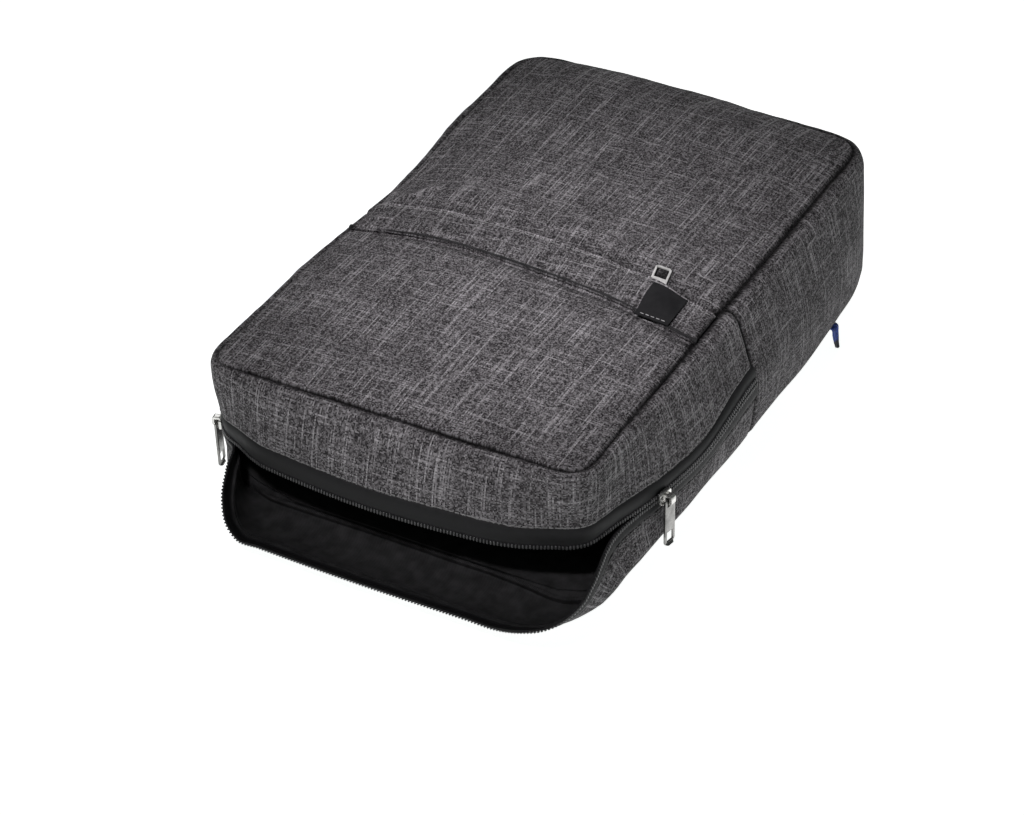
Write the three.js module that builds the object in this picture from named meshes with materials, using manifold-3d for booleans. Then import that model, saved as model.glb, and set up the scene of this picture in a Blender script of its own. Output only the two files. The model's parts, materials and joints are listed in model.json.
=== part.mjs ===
// A grey laptop backpack lying on its back, front panel up, its main zip open at the top end.
// Millimetres, +Z up. X is the width, -Y the bag's top with the open mouth, +Y its base.
import * as THREE from 'three';
import Module from 'manifold-3d';
import * as BufferGeometryUtils from 'three/addons/utils/BufferGeometryUtils.js';

const wasm = await Module();
wasm.setup();

// Driving sizes of the front seam, the line where the front meets the side walls
const HALF_WIDTH = 128;
const HALF_LENGTH = 199;
const NEAR_RADIUS = 15;
const BASE_RADIUS = 18;
const SEAM_HEIGHT = { near: 103, base: 113 };
const SEAM_LEAN = { out: 0.42, up: 0.9 };
const BACK_HEIGHT = 10;

// Thicknesses and the clearance between neighbouring pieces
const CLOTH = 2;
const FLAP_CLOTH = 1.6;
const TAPE = 1.2;
const GAP = 0.3;

// Arc lengths along half the front seam, from the middle of the top end to the middle of the base
const NEAR_STRAIGHT = HALF_WIDTH - NEAR_RADIUS;
const NEAR_ARC = NEAR_RADIUS * Math.PI / 2;
const SIDE_STRAIGHT = 2 * HALF_LENGTH - NEAR_RADIUS - BASE_RADIUS;
const BASE_ARC = BASE_RADIUS * Math.PI / 2;
const SIDE_START = NEAR_STRAIGHT + NEAR_ARC;
const BASE_START = SIDE_START + SIDE_STRAIGHT;
const HALF_SEAM = BASE_START + BASE_ARC + HALF_WIDTH - BASE_RADIUS;
const alongSide = (y) => SIDE_START + y + HALF_LENGTH - NEAR_RADIUS;

const ZIP_END = alongSide(-14);
const SLIDER_PLACE = { right: alongSide(-130), left: -135.6 };

// Where the columns of the wall table stand along the seam
const WALL_STATIONS = {
  topMid: 0,
  topQuarter: 80,
  nearCorner: NEAR_STRAIGHT + NEAR_ARC / 2,
  sideNear: alongSide(-132),
  sideSlider: alongSide(-86),
  sideMid: ZIP_END,
  sideFar: alongSide(139),
  baseCorner: BASE_START + BASE_ARC / 2,
  baseMid: HALF_SEAM,
};

// One row for each line round the side wall: its share of the depth from the front seam to the back,
// at the top end, slider, zip's end and base, then how far it stands out past the front seam at each
// station. The left side has its own near corner, where the zip is shut, and a slacker middle.
const WALL = [
  {
    line: 'frontSeam', depth: [0, 0, 0, 0],
    topMid: 0, topQuarter: 0, nearCorner: 0, nearCornerLeft: 0, sideNear: 0,
    sideSlider: 0, sideMid: 0, sideMidLeft: 0, sideFar: 0, baseCorner: 0, baseMid: 0,
  },
  {
    line: 'roll', depth: [0.055, 0.054, 0.053, 0.05],
    topMid: 8, topQuarter: 7, nearCorner: 4, nearCornerLeft: 4, sideNear: 6,
    sideSlider: 8, sideMid: 9, sideMidLeft: 4, sideFar: 8, baseCorner: 5.5, baseMid: 7,
  },
  {
    line: 'upper', depth: [0.24, 0.24, 0.215, 0.22],
    topMid: 16, topQuarter: 13, nearCorner: 4, nearCornerLeft: 4, sideNear: 11,
    sideSlider: 15, sideMid: 15.5, sideMidLeft: 10, sideFar: 13.5, baseCorner: 7.5, baseMid: 12,
  },
  {
    line: 'zipUpper', depth: [0.46, 0.51, 0.39, 0.4],
    topMid: 21, topQuarter: 16, nearCorner: 2, nearCornerLeft: 1.5, sideNear: 14.5,
    sideSlider: 20, sideMid: 20.8, sideMidLeft: 16, sideFar: 17.5, baseCorner: 8.5, baseMid: 14,
  },
  {
    line: 'coil', depth: [0.61, 0.595, 0.49, 0.5],
    topMid: 22.5, topQuarter: 16.5, nearCorner: 1, nearCornerLeft: 0.5, sideNear: 15,
    sideSlider: 21, sideMid: 22.8, sideMidLeft: 18.5, sideFar: 19, baseCorner: 9, baseMid: 14.5,
  },
  {
    line: 'zipLower', depth: [0.7, 0.685, 0.6, 0.61],
    topMid: 21, topQuarter: 16, nearCorner: 3, nearCornerLeft: 0.5, sideNear: 15,
    sideSlider: 21, sideMid: 23.5, sideMidLeft: 19.5, sideFar: 20, baseCorner: 9.5, baseMid: 14,
  },
  {
    line: 'belly', depth: [0.8, 0.8, 0.76, 0.77],
    topMid: 18, topQuarter: 15, nearCorner: 7, nearCornerLeft: 1, sideNear: 15,
    sideSlider: 20.5, sideMid: 22.8, sideMidLeft: 20, sideFar: 20, baseCorner: 10, baseMid: 11,
  },
  {
    line: 'tuck', depth: [0.93, 0.93, 0.93, 0.93],
    topMid: 11, topQuarter: 11, nearCorner: 12, nearCornerLeft: 1, sideNear: 16,
    sideSlider: 17.5, sideMid: 18.8, sideMidLeft: 17, sideFar: 17, baseCorner: 8.5, baseMid: 6,
  },
  {
    line: 'backEdge', depth: [1, 1, 1, 1],
    topMid: 4, topQuarter: 5, nearCorner: 9, nearCornerLeft: -3, sideNear: 9,
    sideSlider: 6, sideMid: 8, sideMidLeft: 8, sideFar: 7, baseCorner: 0, baseMid: -4,
  },
];
const LINE = Object.fromEntries(WALL.map((row, index) => [row.line, index]));
const LAST_LINE = WALL.length - 1;
const DEPTH_STATIONS = [0, 100, alongSide(-86), ZIP_END, alongSide(139), HALF_SEAM];
const LEFT_COLUMN = { nearCorner: 'nearCornerLeft', sideMid: 'sideMidLeft' };

// The open mouth: between these places the wall behind the zip lies forward as a flat lip
const MOUTH = {
  right: { stands: alongSide(-138), lies: 96, splay: 0.25 },
  left: { stands: 120, lies: 86, splay: -0.15 },
  lyingAngle: 3,
  sag: 5,
  roll: 3,
  opensBy: 0.5,
};

// The front's swell: it rises from the near end to the flap seam, and again to the fuller pocket
const SWELL = { seam: 6.5, front: 1, frontPower: 2.6, pocket: 13, pocketRise: 5, pocketPower: 6, acrossPower: 3 };

// How the filled bag slumps, in full at the height of the front: the base bows out, its left corner
// rides up, and the left edge sinks beside the flap
const SLUMP = {
  height: 100,
  bow: 9, bowFrom: 40,
  rise: 7, riseFrom: 20, riseAcross: -0.6,
  sink: 3, sinkY: 25, sinkReach: 70, sinkAcross: 0.5,
};

// The rain flap: its sewn seam and its free edge across the width
const FLAP = [
  { x: -128, seam: -40.5, edge: -8 },
  { x: -64, seam: -36, edge: -8 },
  { x: 0, seam: -39.5, edge: -10.5 },
  { x: 56, seam: -45, edge: -16 },
  { x: 78, seam: -48.5, edge: -21 },
  { x: 92, seam: -51.5, edge: -23 },
  { x: 128, seam: -57, edge: -26 },
];
// How the flap rests on the pocket, with a bump where it covers the pocket's slider
const FLAP_REST = {
  dip: 2.5, inset: 1.6, ramp: 14, edgeLift: 0.8,
  bump: 3.4, bumpX: 85, bumpY: -29, bumpReach: 24, bumpCore: 0.25, bumpRise: 3,
};

const LABEL = { x: 97, y: -39.4, width: 23, length: 26, thickness: 0.9, turn: -1, seat: 0.8, cells: 8 };
const POCKET_PULLER = {
  x: 84.5, near: -29.5, far: -5.5, width: 10.5, thickness: 1.2, turn: 9, lean: 12, lift: 1.4,
  window: { share: 0.36, rim: 1.3, endBar: 1.5 },
};
const POCKET_SLIDER = { width: 7, length: 8, height: 2.2 };

// The coil, with how far apart the wall's lines lie beside it and the share of a line its edge takes
const COIL = { halfWidth: 3, lift: 1.1, thickness: 2.6, clearance: 0.4, lineSpacing: 10, edge: 0.06 };
const SLIDER = { length: 11, height: 8.5, seat: 1.5, plate: 1.8 };
const ARCH = { outer: 2.9, inner: 1.5, width: 3.2, pin: 2.7 };
const PULLER = {
  width: 9.6, length: 34, thickness: 1.4, topBar: 1.4,
  eye: { height: 4.3, width: 5.6 },
  window: { height: 7.5, width: 6, endBar: 2 },
};
const PIN_OUT = SLIDER.seat + SLIDER.plate + ARCH.pin;

const BACK_PANEL = { below: 1, thickness: 8, inset: 0.85 };
const LINING = { inset: 4, thickness: 1 };
const STRAP = { thickness: 8.7, halfWidth: 28, bevel: 2 };
const STRAP_ROUTE = [
  { x: 42, y: -182 },
  { x: 60, y: -120 },
  { x: 76, y: -40 },
  { x: 80, y: 25 },
  { x: 80, y: 60 },
];
const WEBBING = { width: 25, thickness: 1.6, lead: 1, straight: 36, anchorX: 106, anchorY: 176 };
const BUCKLE = { width: 36, length: 26, thickness: 4.5, slot: 4, bar: 4, rim: 4, from: 4 };
const TAG = { y: 120.5, width: 8, taper: 0.6, out: 2.5, drop: 15, thickness: 1.4, lift: 1 };

const cloth = () => new THREE.MeshStandardMaterial({ color: 0x4a4848, roughness: 0.9, metalness: 0 });
const blackCloth = () => new THREE.MeshStandardMaterial({ color: 0x0c0c0d, roughness: 0.8, metalness: 0 });
const coated = () => new THREE.MeshStandardMaterial({ color: 0x101011, roughness: 0.4, metalness: 0 });
const nickel = () => new THREE.MeshStandardMaterial({ color: 0xb0aeac, roughness: 0.3, metalness: 1 });
const plastic = () => new THREE.MeshStandardMaterial({ color: 0x141415, roughness: 0.45, metalness: 0 });
const blueCloth = () => new THREE.MeshStandardMaterial({ color: 0x2346a8, roughness: 0.7, metalness: 0 });

const bag = new THREE.Group();

function addMesh(parent, name, geometry, material) {
  const mesh = new THREE.Mesh(geometry, material);
  mesh.name = name;
  parent.add(mesh);
  return mesh;
}

const { clamp, degToRad, lerp, smoothstep } = THREE.MathUtils;
const NEARLY = 0.01;

// A smooth curve through a table's points that never overshoots them
function throughTable(xs, ys, x) {
  const last = xs.length - 1;
  const at = clamp(x, xs[0], xs[last]);
  const index = Math.min(xs.findLastIndex((value) => value <= at), last - 1);
  const steps = xs.slice(1).map((value, i) => value - xs[i]);
  const rises = steps.map((step, i) => (ys[i + 1] - ys[i]) / step);
  const slope = (i) => {
    if (i === 0 || i === last || rises[i - 1] * rises[i] <= 0) return 0;
    return 2 * rises[i - 1] * rises[i] / (rises[i - 1] + rises[i]);
  };
  const t = (at - xs[index]) / steps[index];
  const rise = steps[index] * t * (1 - t);
  const blend = t * t * (3 - 2 * t);
  return lerp(ys[index], ys[index + 1], blend)
    + rise * ((1 - t) * slope(index) - t * slope(index + 1));
}

// The front seam in plan. A place is an arc length from the top end's middle, minus on the left
// side, and places past the base's middle run on up the left side.
function seamPlan(place) {
  const wrapped = place > HALF_SEAM ? place - 2 * HALF_SEAM : place;
  const side = wrapped < 0 ? -1 : 1;
  const s = Math.abs(wrapped);
  let x = s;
  let y = -HALF_LENGTH;
  let angle = 0;
  if (s > BASE_START + BASE_ARC) {
    x = HALF_SEAM - s;
    y = HALF_LENGTH;
    angle = Math.PI;
  } else if (s > BASE_START) {
    angle = Math.PI / 2 + (s - BASE_START) / BASE_RADIUS;
    x = HALF_WIDTH - BASE_RADIUS + BASE_RADIUS * Math.sin(angle);
    y = HALF_LENGTH - BASE_RADIUS - BASE_RADIUS * Math.cos(angle);
  } else if (s > SIDE_START) {
    x = HALF_WIDTH;
    y = s - SIDE_START - HALF_LENGTH + NEAR_RADIUS;
    angle = Math.PI / 2;
  } else if (s > NEAR_STRAIGHT) {
    angle = (s - NEAR_STRAIGHT) / NEAR_RADIUS;
    x = NEAR_STRAIGHT + NEAR_RADIUS * Math.sin(angle);
    y = -HALF_LENGTH + NEAR_RADIUS - NEAR_RADIUS * Math.cos(angle);
  }
  const out = new THREE.Vector3(side * Math.sin(angle), -Math.cos(angle), 0);
  return { s, side, x: side * x, y, out };
}

function seamHeight(y) {
  return lerp(SEAM_HEIGHT.near, SEAM_HEIGHT.base, (y + HALF_LENGTH) / (2 * HALF_LENGTH));
}

// The wall's section at a place: a smooth curve of (out, height) through the table's lines
function wallSection(place) {
  const plan = seamPlan(place);
  const stations = Object.values(WALL_STATIONS);
  const names = Object.keys(WALL_STATIONS);
  const column = (name) => (plan.side < 0 && LEFT_COLUMN[name]) || name;
  const height = seamHeight(plan.y) - BACK_HEIGHT;
  const points = WALL.map((row) => {
    const outs = names.map((name) => row[column(name)]);
    const [top, slider, zipEnd, base] = row.depth;
    const depth = throughTable(DEPTH_STATIONS, [top, top, slider, zipEnd, base, base], plan.s);
    return new THREE.Vector2(throughTable(stations, outs, plan.s), BACK_HEIGHT + height * (1 - depth));
  });
  return { plan, curve: new THREE.SplineCurve(points), heel: points[LAST_LINE] };
}

const sections = new Map();
function sectionAt(place) {
  if (!sections.has(place)) sections.set(place, wallSection(place));
  return sections.get(place);
}

function shutWall(place, line) {
  const { plan, curve } = sectionAt(place);
  const point = curve.getPoint(line / LAST_LINE);
  return new THREE.Vector3(plan.x, plan.y, point.y).addScaledVector(plan.out, point.x);
}

// How far the wall behind the zip has fallen forward at a place, from 0 standing to 1 lying
const mouthSide = (plan) => (plan.side < 0 ? MOUTH.left : MOUTH.right);
function mouthShare(plan) {
  const { lies, stands } = mouthSide(plan);
  return 1 - smoothstep(plan.s, lies, stands);
}

function lengthToHeel(curve, line) {
  const steps = 12;
  const at = (i) => curve.getPoint(lerp(line, LAST_LINE, i / steps) / LAST_LINE);
  let length = 0;
  for (let i = 0; i < steps; i += 1) length += at(i).distanceTo(at(i + 1));
  return length;
}

// The wall behind the zip: shut outside the mouth, and turned forward about the back seam within it
function openWall(place, line) {
  const { plan, curve, heel } = sectionAt(place);
  const shut = shutWall(place, line);
  const share = mouthShare(plan);
  if (share === 0) return shut;
  const length = lengthToHeel(curve, line);
  const reach = lerp(shut.z - heel.y, length, share);
  const full = heel.distanceTo(curve.getPoint(LINE.coil / LAST_LINE));
  const angle = degToRad(lerp(90, MOUTH.lyingAngle, share));
  const forward = new THREE.Vector3(plan.out.x * mouthSide(plan).splay * share, -1, 0).normalize();
  const sag = MOUTH.sag * share * Math.sin(Math.PI * Math.min(reach / full, 1));
  const open = new THREE.Vector3(plan.x, plan.y, heel.y).addScaledVector(plan.out, heel.x);
  const outward = curve.getPoint(line / LAST_LINE).x - heel.x;
  const roll = MOUTH.roll * (1 - Math.exp(-reach / MOUTH.roll));
  open.addScaledVector(forward, reach * Math.cos(angle));
  open.addScaledVector(plan.out, lerp(outward, roll, share));
  open.z += reach * Math.sin(angle) - sag;
  return shut.lerp(open, smoothstep(share, 0, MOUTH.opensBy));
}

// Both the walls and the front lean their edges this way at the front seam, so that they match
function seamNormal(out) {
  return out.clone().multiplyScalar(SEAM_LEAN.out).setZ(SEAM_LEAN.up).normalize();
}

// The outward normal of a wall, upright at its two seams so that neighbours' edges match
function wallNormal(surface, place, line) {
  const { out } = seamPlan(place);
  if (line === 0) return seamNormal(out);
  if (line === LAST_LINE) return new THREE.Vector3(0, 0, -1);
  const step = 0.02;
  const stride = 1.5;
  const down = surface(place, Math.min(line + step, LAST_LINE)).sub(surface(place, line - step));
  const along = surface(place + stride, line).sub(surface(place - stride, line));
  return down.cross(along).normalize();
}

function slump(point) {
  const share = clamp((point.z - BACK_HEIGHT) / SLUMP.height, 0, 1);
  const across = clamp(point.x / HALF_WIDTH, -1, 1);
  const bow = (1 - across ** 2) * smoothstep(point.y, SLUMP.bowFrom, HALF_LENGTH);
  const rise = smoothstep(-across, SLUMP.riseAcross, 1) * smoothstep(point.y, SLUMP.riseFrom, HALF_LENGTH);
  const fromSink = smoothstep(Math.abs(point.y - SLUMP.sinkY), 0, SLUMP.sinkReach);
  const sink = smoothstep(-across, SLUMP.sinkAcross, 1) * (1 - fromSink);
  const slumped = point.clone();
  slumped.y += share * SLUMP.bow * bow;
  slumped.z += share * (SLUMP.rise * rise - SLUMP.sink * sink);
  return slumped;
}

// A closed body between two grids of points, the first one facing out
function shell(outer, inner) {
  const rows = outer[0].length;
  const columns = outer.length;
  const points = [...outer.flat(), ...inner.flat()].map(slump);
  const at = (i, j) => i * rows + j;
  const under = (index) => index + rows * columns;
  const faces = [];
  const rim = (p, q) => faces.push(q, p, under(p), q, under(p), under(q));
  for (let i = 0; i + 1 < columns; i += 1) {
    for (let j = 0; j + 1 < rows; j += 1) {
      const [a, b, c, d] = [at(i, j), at(i, j + 1), at(i + 1, j + 1), at(i + 1, j)];
      faces.push(a, b, c, a, c, d);
      faces.push(under(c), under(b), under(a), under(d), under(c), under(a));
    }
  }
  for (let j = 0; j + 1 < rows; j += 1) {
    rim(at(0, j), at(0, j + 1));
    rim(at(columns - 1, j + 1), at(columns - 1, j));
  }
  for (let i = 0; i + 1 < columns; i += 1) {
    rim(at(i, rows - 1), at(i + 1, rows - 1));
    rim(at(i + 1, 0), at(i, 0));
  }
  const geometry = new THREE.BufferGeometry().setFromPoints(points);
  geometry.setIndex(faces);
  geometry.computeVertexNormals();
  return geometry;
}

// Draws a grid's four edges in by half the clearance
function trim(grid) {
  const pull = (point, towards) => {
    const step = towards.clone().sub(point).normalize().multiplyScalar(GAP / 2);
    return point.clone().add(step);
  };
  const last = grid.length - 1;
  const ends = grid.map((column) => {
    const edge = column.length - 1;
    return column.map((point, j) => {
      if (j === 0) return pull(point, column[1]);
      return j === edge ? pull(point, column[edge - 1]) : point;
    });
  });
  return ends.map((column, i) => {
    if (i > 0 && i < last) return column;
    const next = ends[i === 0 ? 1 : last - 1];
    return column.map((point, j) => pull(point, next[j]));
  });
}

// Places along the seam: a list of stretches, each cut into equal steps
function placesAlong(stretches) {
  const places = [stretches[0].from];
  for (const { from, to, steps } of stretches) {
    for (let i = 1; i <= steps; i += 1) places.push(lerp(from, to, i / steps));
  }
  return places;
}

const zipPlaces = placesAlong([
  { from: -ZIP_END, to: -SIDE_START, steps: 9 },
  { from: -SIDE_START, to: -NEAR_STRAIGHT, steps: 6 },
  { from: -NEAR_STRAIGHT, to: -MOUTH.left.lies, steps: 4 },
  { from: -MOUTH.left.lies, to: 0, steps: 5 },
  { from: 0, to: NEAR_STRAIGHT, steps: 6 },
  { from: NEAR_STRAIGHT, to: SIDE_START, steps: 5 },
  { from: SIDE_START, to: ZIP_END, steps: 10 },
]);
const basePlaces = placesAlong([
  { from: ZIP_END, to: BASE_START, steps: 7 },
  { from: BASE_START, to: BASE_START + BASE_ARC, steps: 4 },
  { from: BASE_START + BASE_ARC, to: HALF_SEAM, steps: 4 },
  { from: HALF_SEAM, to: 2 * HALF_SEAM - BASE_START - BASE_ARC, steps: 4 },
  { from: 2 * HALF_SEAM - BASE_START - BASE_ARC, to: 2 * HALF_SEAM - BASE_START, steps: 4 },
  { from: 2 * HALF_SEAM - BASE_START, to: 2 * HALF_SEAM - ZIP_END, steps: 7 },
]);

// A wall piece between lines of the table, with a thickness and a lift off the surface at each line
function wallPiece(surface, places, lines) {
  const grid = (offset) => places.map((place) => lines.map(({ line, lift = 0, thickness }) => {
    const distance = offset === 'outer' ? lift : lift - thickness;
    return surface(place, line).addScaledVector(wallNormal(surface, place, line), distance);
  }));
  return shell(trim(grid('outer')), trim(grid('inner')));
}

function evenLines(from, to, steps, thickness) {
  return Array.from({ length: steps + 1 }, (_, i) => ({ line: lerp(from, to, i / steps), thickness }));
}

// A zip half: flat tape, then a raised coil along the edge where the halves meet
function zipLines(tapeEdge, towards) {
  const meet = LINE.coil + towards * COIL.clearance / COIL.lineSpacing;
  const coilEdge = LINE.coil + towards * COIL.halfWidth / COIL.lineSpacing;
  const step = towards * COIL.edge;
  const tape = { thickness: TAPE };
  const coil = { lift: COIL.lift, thickness: COIL.thickness };
  const lines = [
    { line: tapeEdge, ...tape },
    { line: coilEdge + step, ...tape },
    { line: coilEdge, ...coil },
    { line: meet, ...coil },
  ];
  return towards < 0 ? lines : lines.reverse();
}

addMesh(bag, 'front_gusset',
  wallPiece(shutWall, zipPlaces, evenLines(LINE.frontSeam, LINE.zipUpper, 6, CLOTH)), cloth());
addMesh(bag, 'zip_half_front', wallPiece(shutWall, zipPlaces, zipLines(LINE.zipUpper, -1)), coated());
addMesh(bag, 'zip_half_back', wallPiece(openWall, zipPlaces, zipLines(LINE.zipLower, 1)), coated());
addMesh(bag, 'back_gusset',
  wallPiece(openWall, zipPlaces, evenLines(LINE.zipLower, LINE.backEdge, 6, CLOTH)), cloth());
addMesh(bag, 'lower_gusset',
  wallPiece(shutWall, basePlaces, evenLines(LINE.frontSeam, LINE.backEdge, 14, CLOTH)), cloth());

// The front: its half width at each y, the flap's lines, and its swell above the plane of the seam
function halfWidthAt(y) {
  const nearIn = Math.max(0, -HALF_LENGTH + NEAR_RADIUS - y);
  const baseIn = Math.max(0, y - HALF_LENGTH + BASE_RADIUS);
  const near = HALF_WIDTH - NEAR_RADIUS + Math.sqrt(Math.max(0, NEAR_RADIUS ** 2 - nearIn ** 2));
  const base = HALF_WIDTH - BASE_RADIUS + Math.sqrt(Math.max(0, BASE_RADIUS ** 2 - baseIn ** 2));
  return Math.min(near, base);
}

const flapColumn = (name) => (x) => throughTable(FLAP.map((row) => row.x), FLAP.map((row) => row[name]), x);
const flapSeam = flapColumn('seam');
const flapEdge = flapColumn('edge');

function frontHeight(x, y) {
  const across = 1 - Math.min(1, Math.abs(x) / halfWidthAt(y)) ** SWELL.acrossPower;
  const seam = flapSeam(x);
  if (y < seam) {
    const t = clamp((y + HALF_LENGTH) / (seam + HALF_LENGTH), 0, 1);
    const swell = SWELL.seam * (1 - (1 - t) ** SWELL.frontPower) + 4 * SWELL.front * t * (1 - t);
    return seamHeight(y) + across * swell;
  }
  const t = clamp((y - seam) / (HALF_LENGTH - seam), 0, 1);
  const rise = 1 - (1 - Math.min(1, 2 * t)) ** SWELL.pocketRise;
  const fall = 1 - Math.max(0, 2 * t - 1) ** SWELL.pocketPower;
  return seamHeight(y) + across * lerp(SWELL.seam, SWELL.pocket, rise) * fall;
}

function flapHeight(x, y) {
  const share = clamp((y - flapSeam(x)) / (flapEdge(x) - flapSeam(x)), 0, 1);
  const away = Math.hypot(x - FLAP_REST.bumpX, y - FLAP_REST.bumpY) / FLAP_REST.bumpReach;
  const rise = Math.min(1, share * FLAP_REST.bumpRise);
  const bump = FLAP_REST.bump * (1 - smoothstep(away, FLAP_REST.bumpCore, 1)) * rise;
  return frontHeight(x, y) + FLAP_REST.edgeLift * share + bump;
}

// How far the pocket dips below the front at a point: fully under the flap, and then it rises
const underFlap = (x, y) => 1 - smoothstep(y, flapEdge(x), flapEdge(x) + FLAP_REST.ramp);
const pocketHeight = (x, y) => frontHeight(x, y) - FLAP_REST.dip * underFlap(x, y);

function heightNormal(height, x, y) {
  const step = 0.5;
  const slopeX = (height(x + step, y) - height(x - step, y)) / (2 * step);
  const slopeY = (height(x, y + step) - height(x, y - step)) / (2 * step);
  return new THREE.Vector3(-slopeX, -slopeY, 1).normalize();
}

// A sheet over the front: rows along y, columns across, with the seam's own normal at its rim
function frontSheet(height, rows, columns, thickness, normalAt, insetAt = () => 0) {
  const points = rows.map((yAt) => columns.map((u) => {
    const guess = u * HALF_WIDTH;
    const y = yAt(guess);
    const x = u * (halfWidthAt(y) - insetAt(guess, y));
    return { x, y, u, point: new THREE.Vector3(x, y, height(x, y)) };
  }));
  const outer = points.map((row) => row.map(({ point }) => point));
  const inner = points.map((row) => row.map(({ x, y, u, point }) => {
    return point.clone().addScaledVector(normalAt(x, y, u), -thickness);
  }));
  return shell(trim(outer), trim(inner));
}

// The rim's normal: the front seam's beside the walls, upright along the flap seam
function rimOrHeight(height) {
  return (x, y, u) => {
    const atEnd = Math.abs(y) > HALF_LENGTH - NEARLY;
    const atSide = Math.abs(u) === 1;
    if (!atEnd && !atSide) {
      const atFlap = Math.abs(y - flapSeam(x)) < NEARLY;
      return atFlap ? new THREE.Vector3(0, 0, 1) : heightNormal(height, x, y);
    }
    const radius = y < 0 ? NEAR_RADIUS : BASE_RADIUS;
    const inY = Math.max(0, Math.abs(y) - HALF_LENGTH + radius) * Math.sign(y);
    const inX = atSide ? Math.sqrt(Math.max(0, radius ** 2 - inY ** 2)) * Math.sign(x) : 0;
    return seamNormal(new THREE.Vector3(inX, inY, 0).normalize());
  };
}

function cornerRows(end, radius, steps) {
  return Array.from({ length: steps + 1 }, (_, i) => {
    const angle = Math.PI / 2 * i / steps;
    const inFromEnd = radius * (1 - (end < 0 ? Math.cos(angle) : Math.sin(angle)));
    return () => end * (HALF_LENGTH - inFromEnd);
  });
}

const ACROSS = 20;
const evenColumns = (count) => Array.from({ length: count + 1 }, (_, i) => 2 * i / count - 1);
const rowsBetween = (from, to, steps) => Array.from({ length: steps }, (_, i) => (x) => {
  return lerp(from(x), to(x), (i + 1) / steps);
});

const nearStart = () => -HALF_LENGTH + NEAR_RADIUS;
const baseStart = () => HALF_LENGTH - BASE_RADIUS;
const frontRows = [...cornerRows(-1, NEAR_RADIUS, 5), ...rowsBetween(nearStart, flapSeam, 9)];
addMesh(bag, 'front_panel',
  frontSheet(frontHeight, frontRows, evenColumns(ACROSS), CLOTH, rimOrHeight(frontHeight)), cloth());

const pocketRows = [
  flapSeam,
  ...rowsBetween(flapSeam, (x) => flapEdge(x) + FLAP_REST.ramp, 6),
  ...rowsBetween((x) => flapEdge(x) + FLAP_REST.ramp, baseStart, 8),
  ...cornerRows(1, BASE_RADIUS, 4).slice(1),
];
const pocketInset = (x, y) => FLAP_REST.inset * underFlap(x, y);
const pocketSheet = frontSheet(
  pocketHeight, pocketRows, evenColumns(ACROSS), CLOTH, rimOrHeight(pocketHeight), pocketInset);
addMesh(bag, 'pocket_panel', pocketSheet, cloth());

const flapRows = [flapSeam, ...rowsBetween(flapSeam, flapEdge, 5)];
addMesh(bag, 'pocket_flap',
  frontSheet(flapHeight, flapRows, evenColumns(ACROSS), FLAP_CLOTH, rimOrHeight(flapHeight)), cloth());

// The label lies on the flap, sewn in along the flap seam
function labelGeometry() {
  const turn = degToRad(LABEL.turn);
  const shares = Array.from({ length: LABEL.cells + 1 }, (_, i) => i / LABEL.cells - 0.5);
  const grid = (height) => shares.map((v) => shares.map((u) => {
    const x = LABEL.x + u * LABEL.width * Math.cos(turn) - v * LABEL.length * Math.sin(turn);
    const y = LABEL.y + u * LABEL.width * Math.sin(turn) + v * LABEL.length * Math.cos(turn);
    const normal = heightNormal(flapHeight, x, y);
    return new THREE.Vector3(x, y, flapHeight(x, y)).addScaledVector(normal, height);
  }));
  return shell(grid(LABEL.seat + LABEL.thickness), grid(LABEL.seat));
}
addMesh(bag, 'pocket_label', labelGeometry(), blackCloth());

// Booleans on closed geometries
function toSolid(geometry) {
  const bare = geometry.clone();
  bare.deleteAttribute('normal');
  bare.deleteAttribute('uv');
  const merged = BufferGeometryUtils.mergeVertices(bare, 1e-4);
  const vertProperties = Float32Array.from(merged.attributes.position.array);
  const triVerts = Uint32Array.from(merged.index.array);
  return new wasm.Manifold(new wasm.Mesh({ numProp: 3, vertProperties, triVerts }));
}

function toGeometry(solid) {
  const mesh = solid.getMesh();
  const geometry = new THREE.BufferGeometry();
  geometry.setAttribute('position', new THREE.BufferAttribute(Float32Array.from(mesh.vertProperties), 3));
  geometry.setIndex(new THREE.BufferAttribute(Uint32Array.from(mesh.triVerts), 1));
  geometry.computeVertexNormals();
  return geometry;
}

function boxShape(width, height, x = 0, y = 0) {
  const shape = new THREE.Shape();
  shape.moveTo(x - width / 2, y - height / 2);
  shape.lineTo(x + width / 2, y - height / 2);
  shape.lineTo(x + width / 2, y + height / 2);
  shape.lineTo(x - width / 2, y + height / 2);
  shape.closePath();
  return shape;
}

function extruded(shape, depth) {
  return new THREE.ExtrudeGeometry(shape, { depth, bevelEnabled: false });
}

// A pull tab in its own plane: X across, the hinge bar at the origin, the tab down -Y
function pullTab() {
  const top = PULLER.topBar / 2;
  const shape = boxShape(PULLER.width, PULLER.length, 0, top - PULLER.length / 2);
  const eyeY = -top - PULLER.eye.height / 2;
  const windowY = top - PULLER.length + PULLER.window.endBar + PULLER.window.height / 2;
  shape.holes.push(boxShape(PULLER.eye.width, PULLER.eye.height, 0, eyeY));
  shape.holes.push(boxShape(PULLER.window.width, PULLER.window.height, 0, windowY));
  return extruded(shape, PULLER.thickness).translate(0, 0, -PULLER.thickness / 2);
}

// A slider in the same frame: a plate on the coil, with an arch round the tab's hinge bar
function sliderBody() {
  const plateFace = SLIDER.plate - PIN_OUT + SLIDER.seat;
  const plate = new THREE.BoxGeometry(SLIDER.length, SLIDER.height, SLIDER.plate);
  plate.translate(0, 0, plateFace - SLIDER.plate / 2);
  const ring = boxShape(2 * ARCH.outer, 2 * ARCH.outer);
  ring.holes.push(boxShape(2 * ARCH.inner, 2 * ARCH.inner));
  const arch = extruded(ring, ARCH.width).translate(0, 0, -ARCH.width / 2).rotateY(Math.PI / 2);
  return toGeometry(toSolid(plate).add(toSolid(arch)));
}

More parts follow.
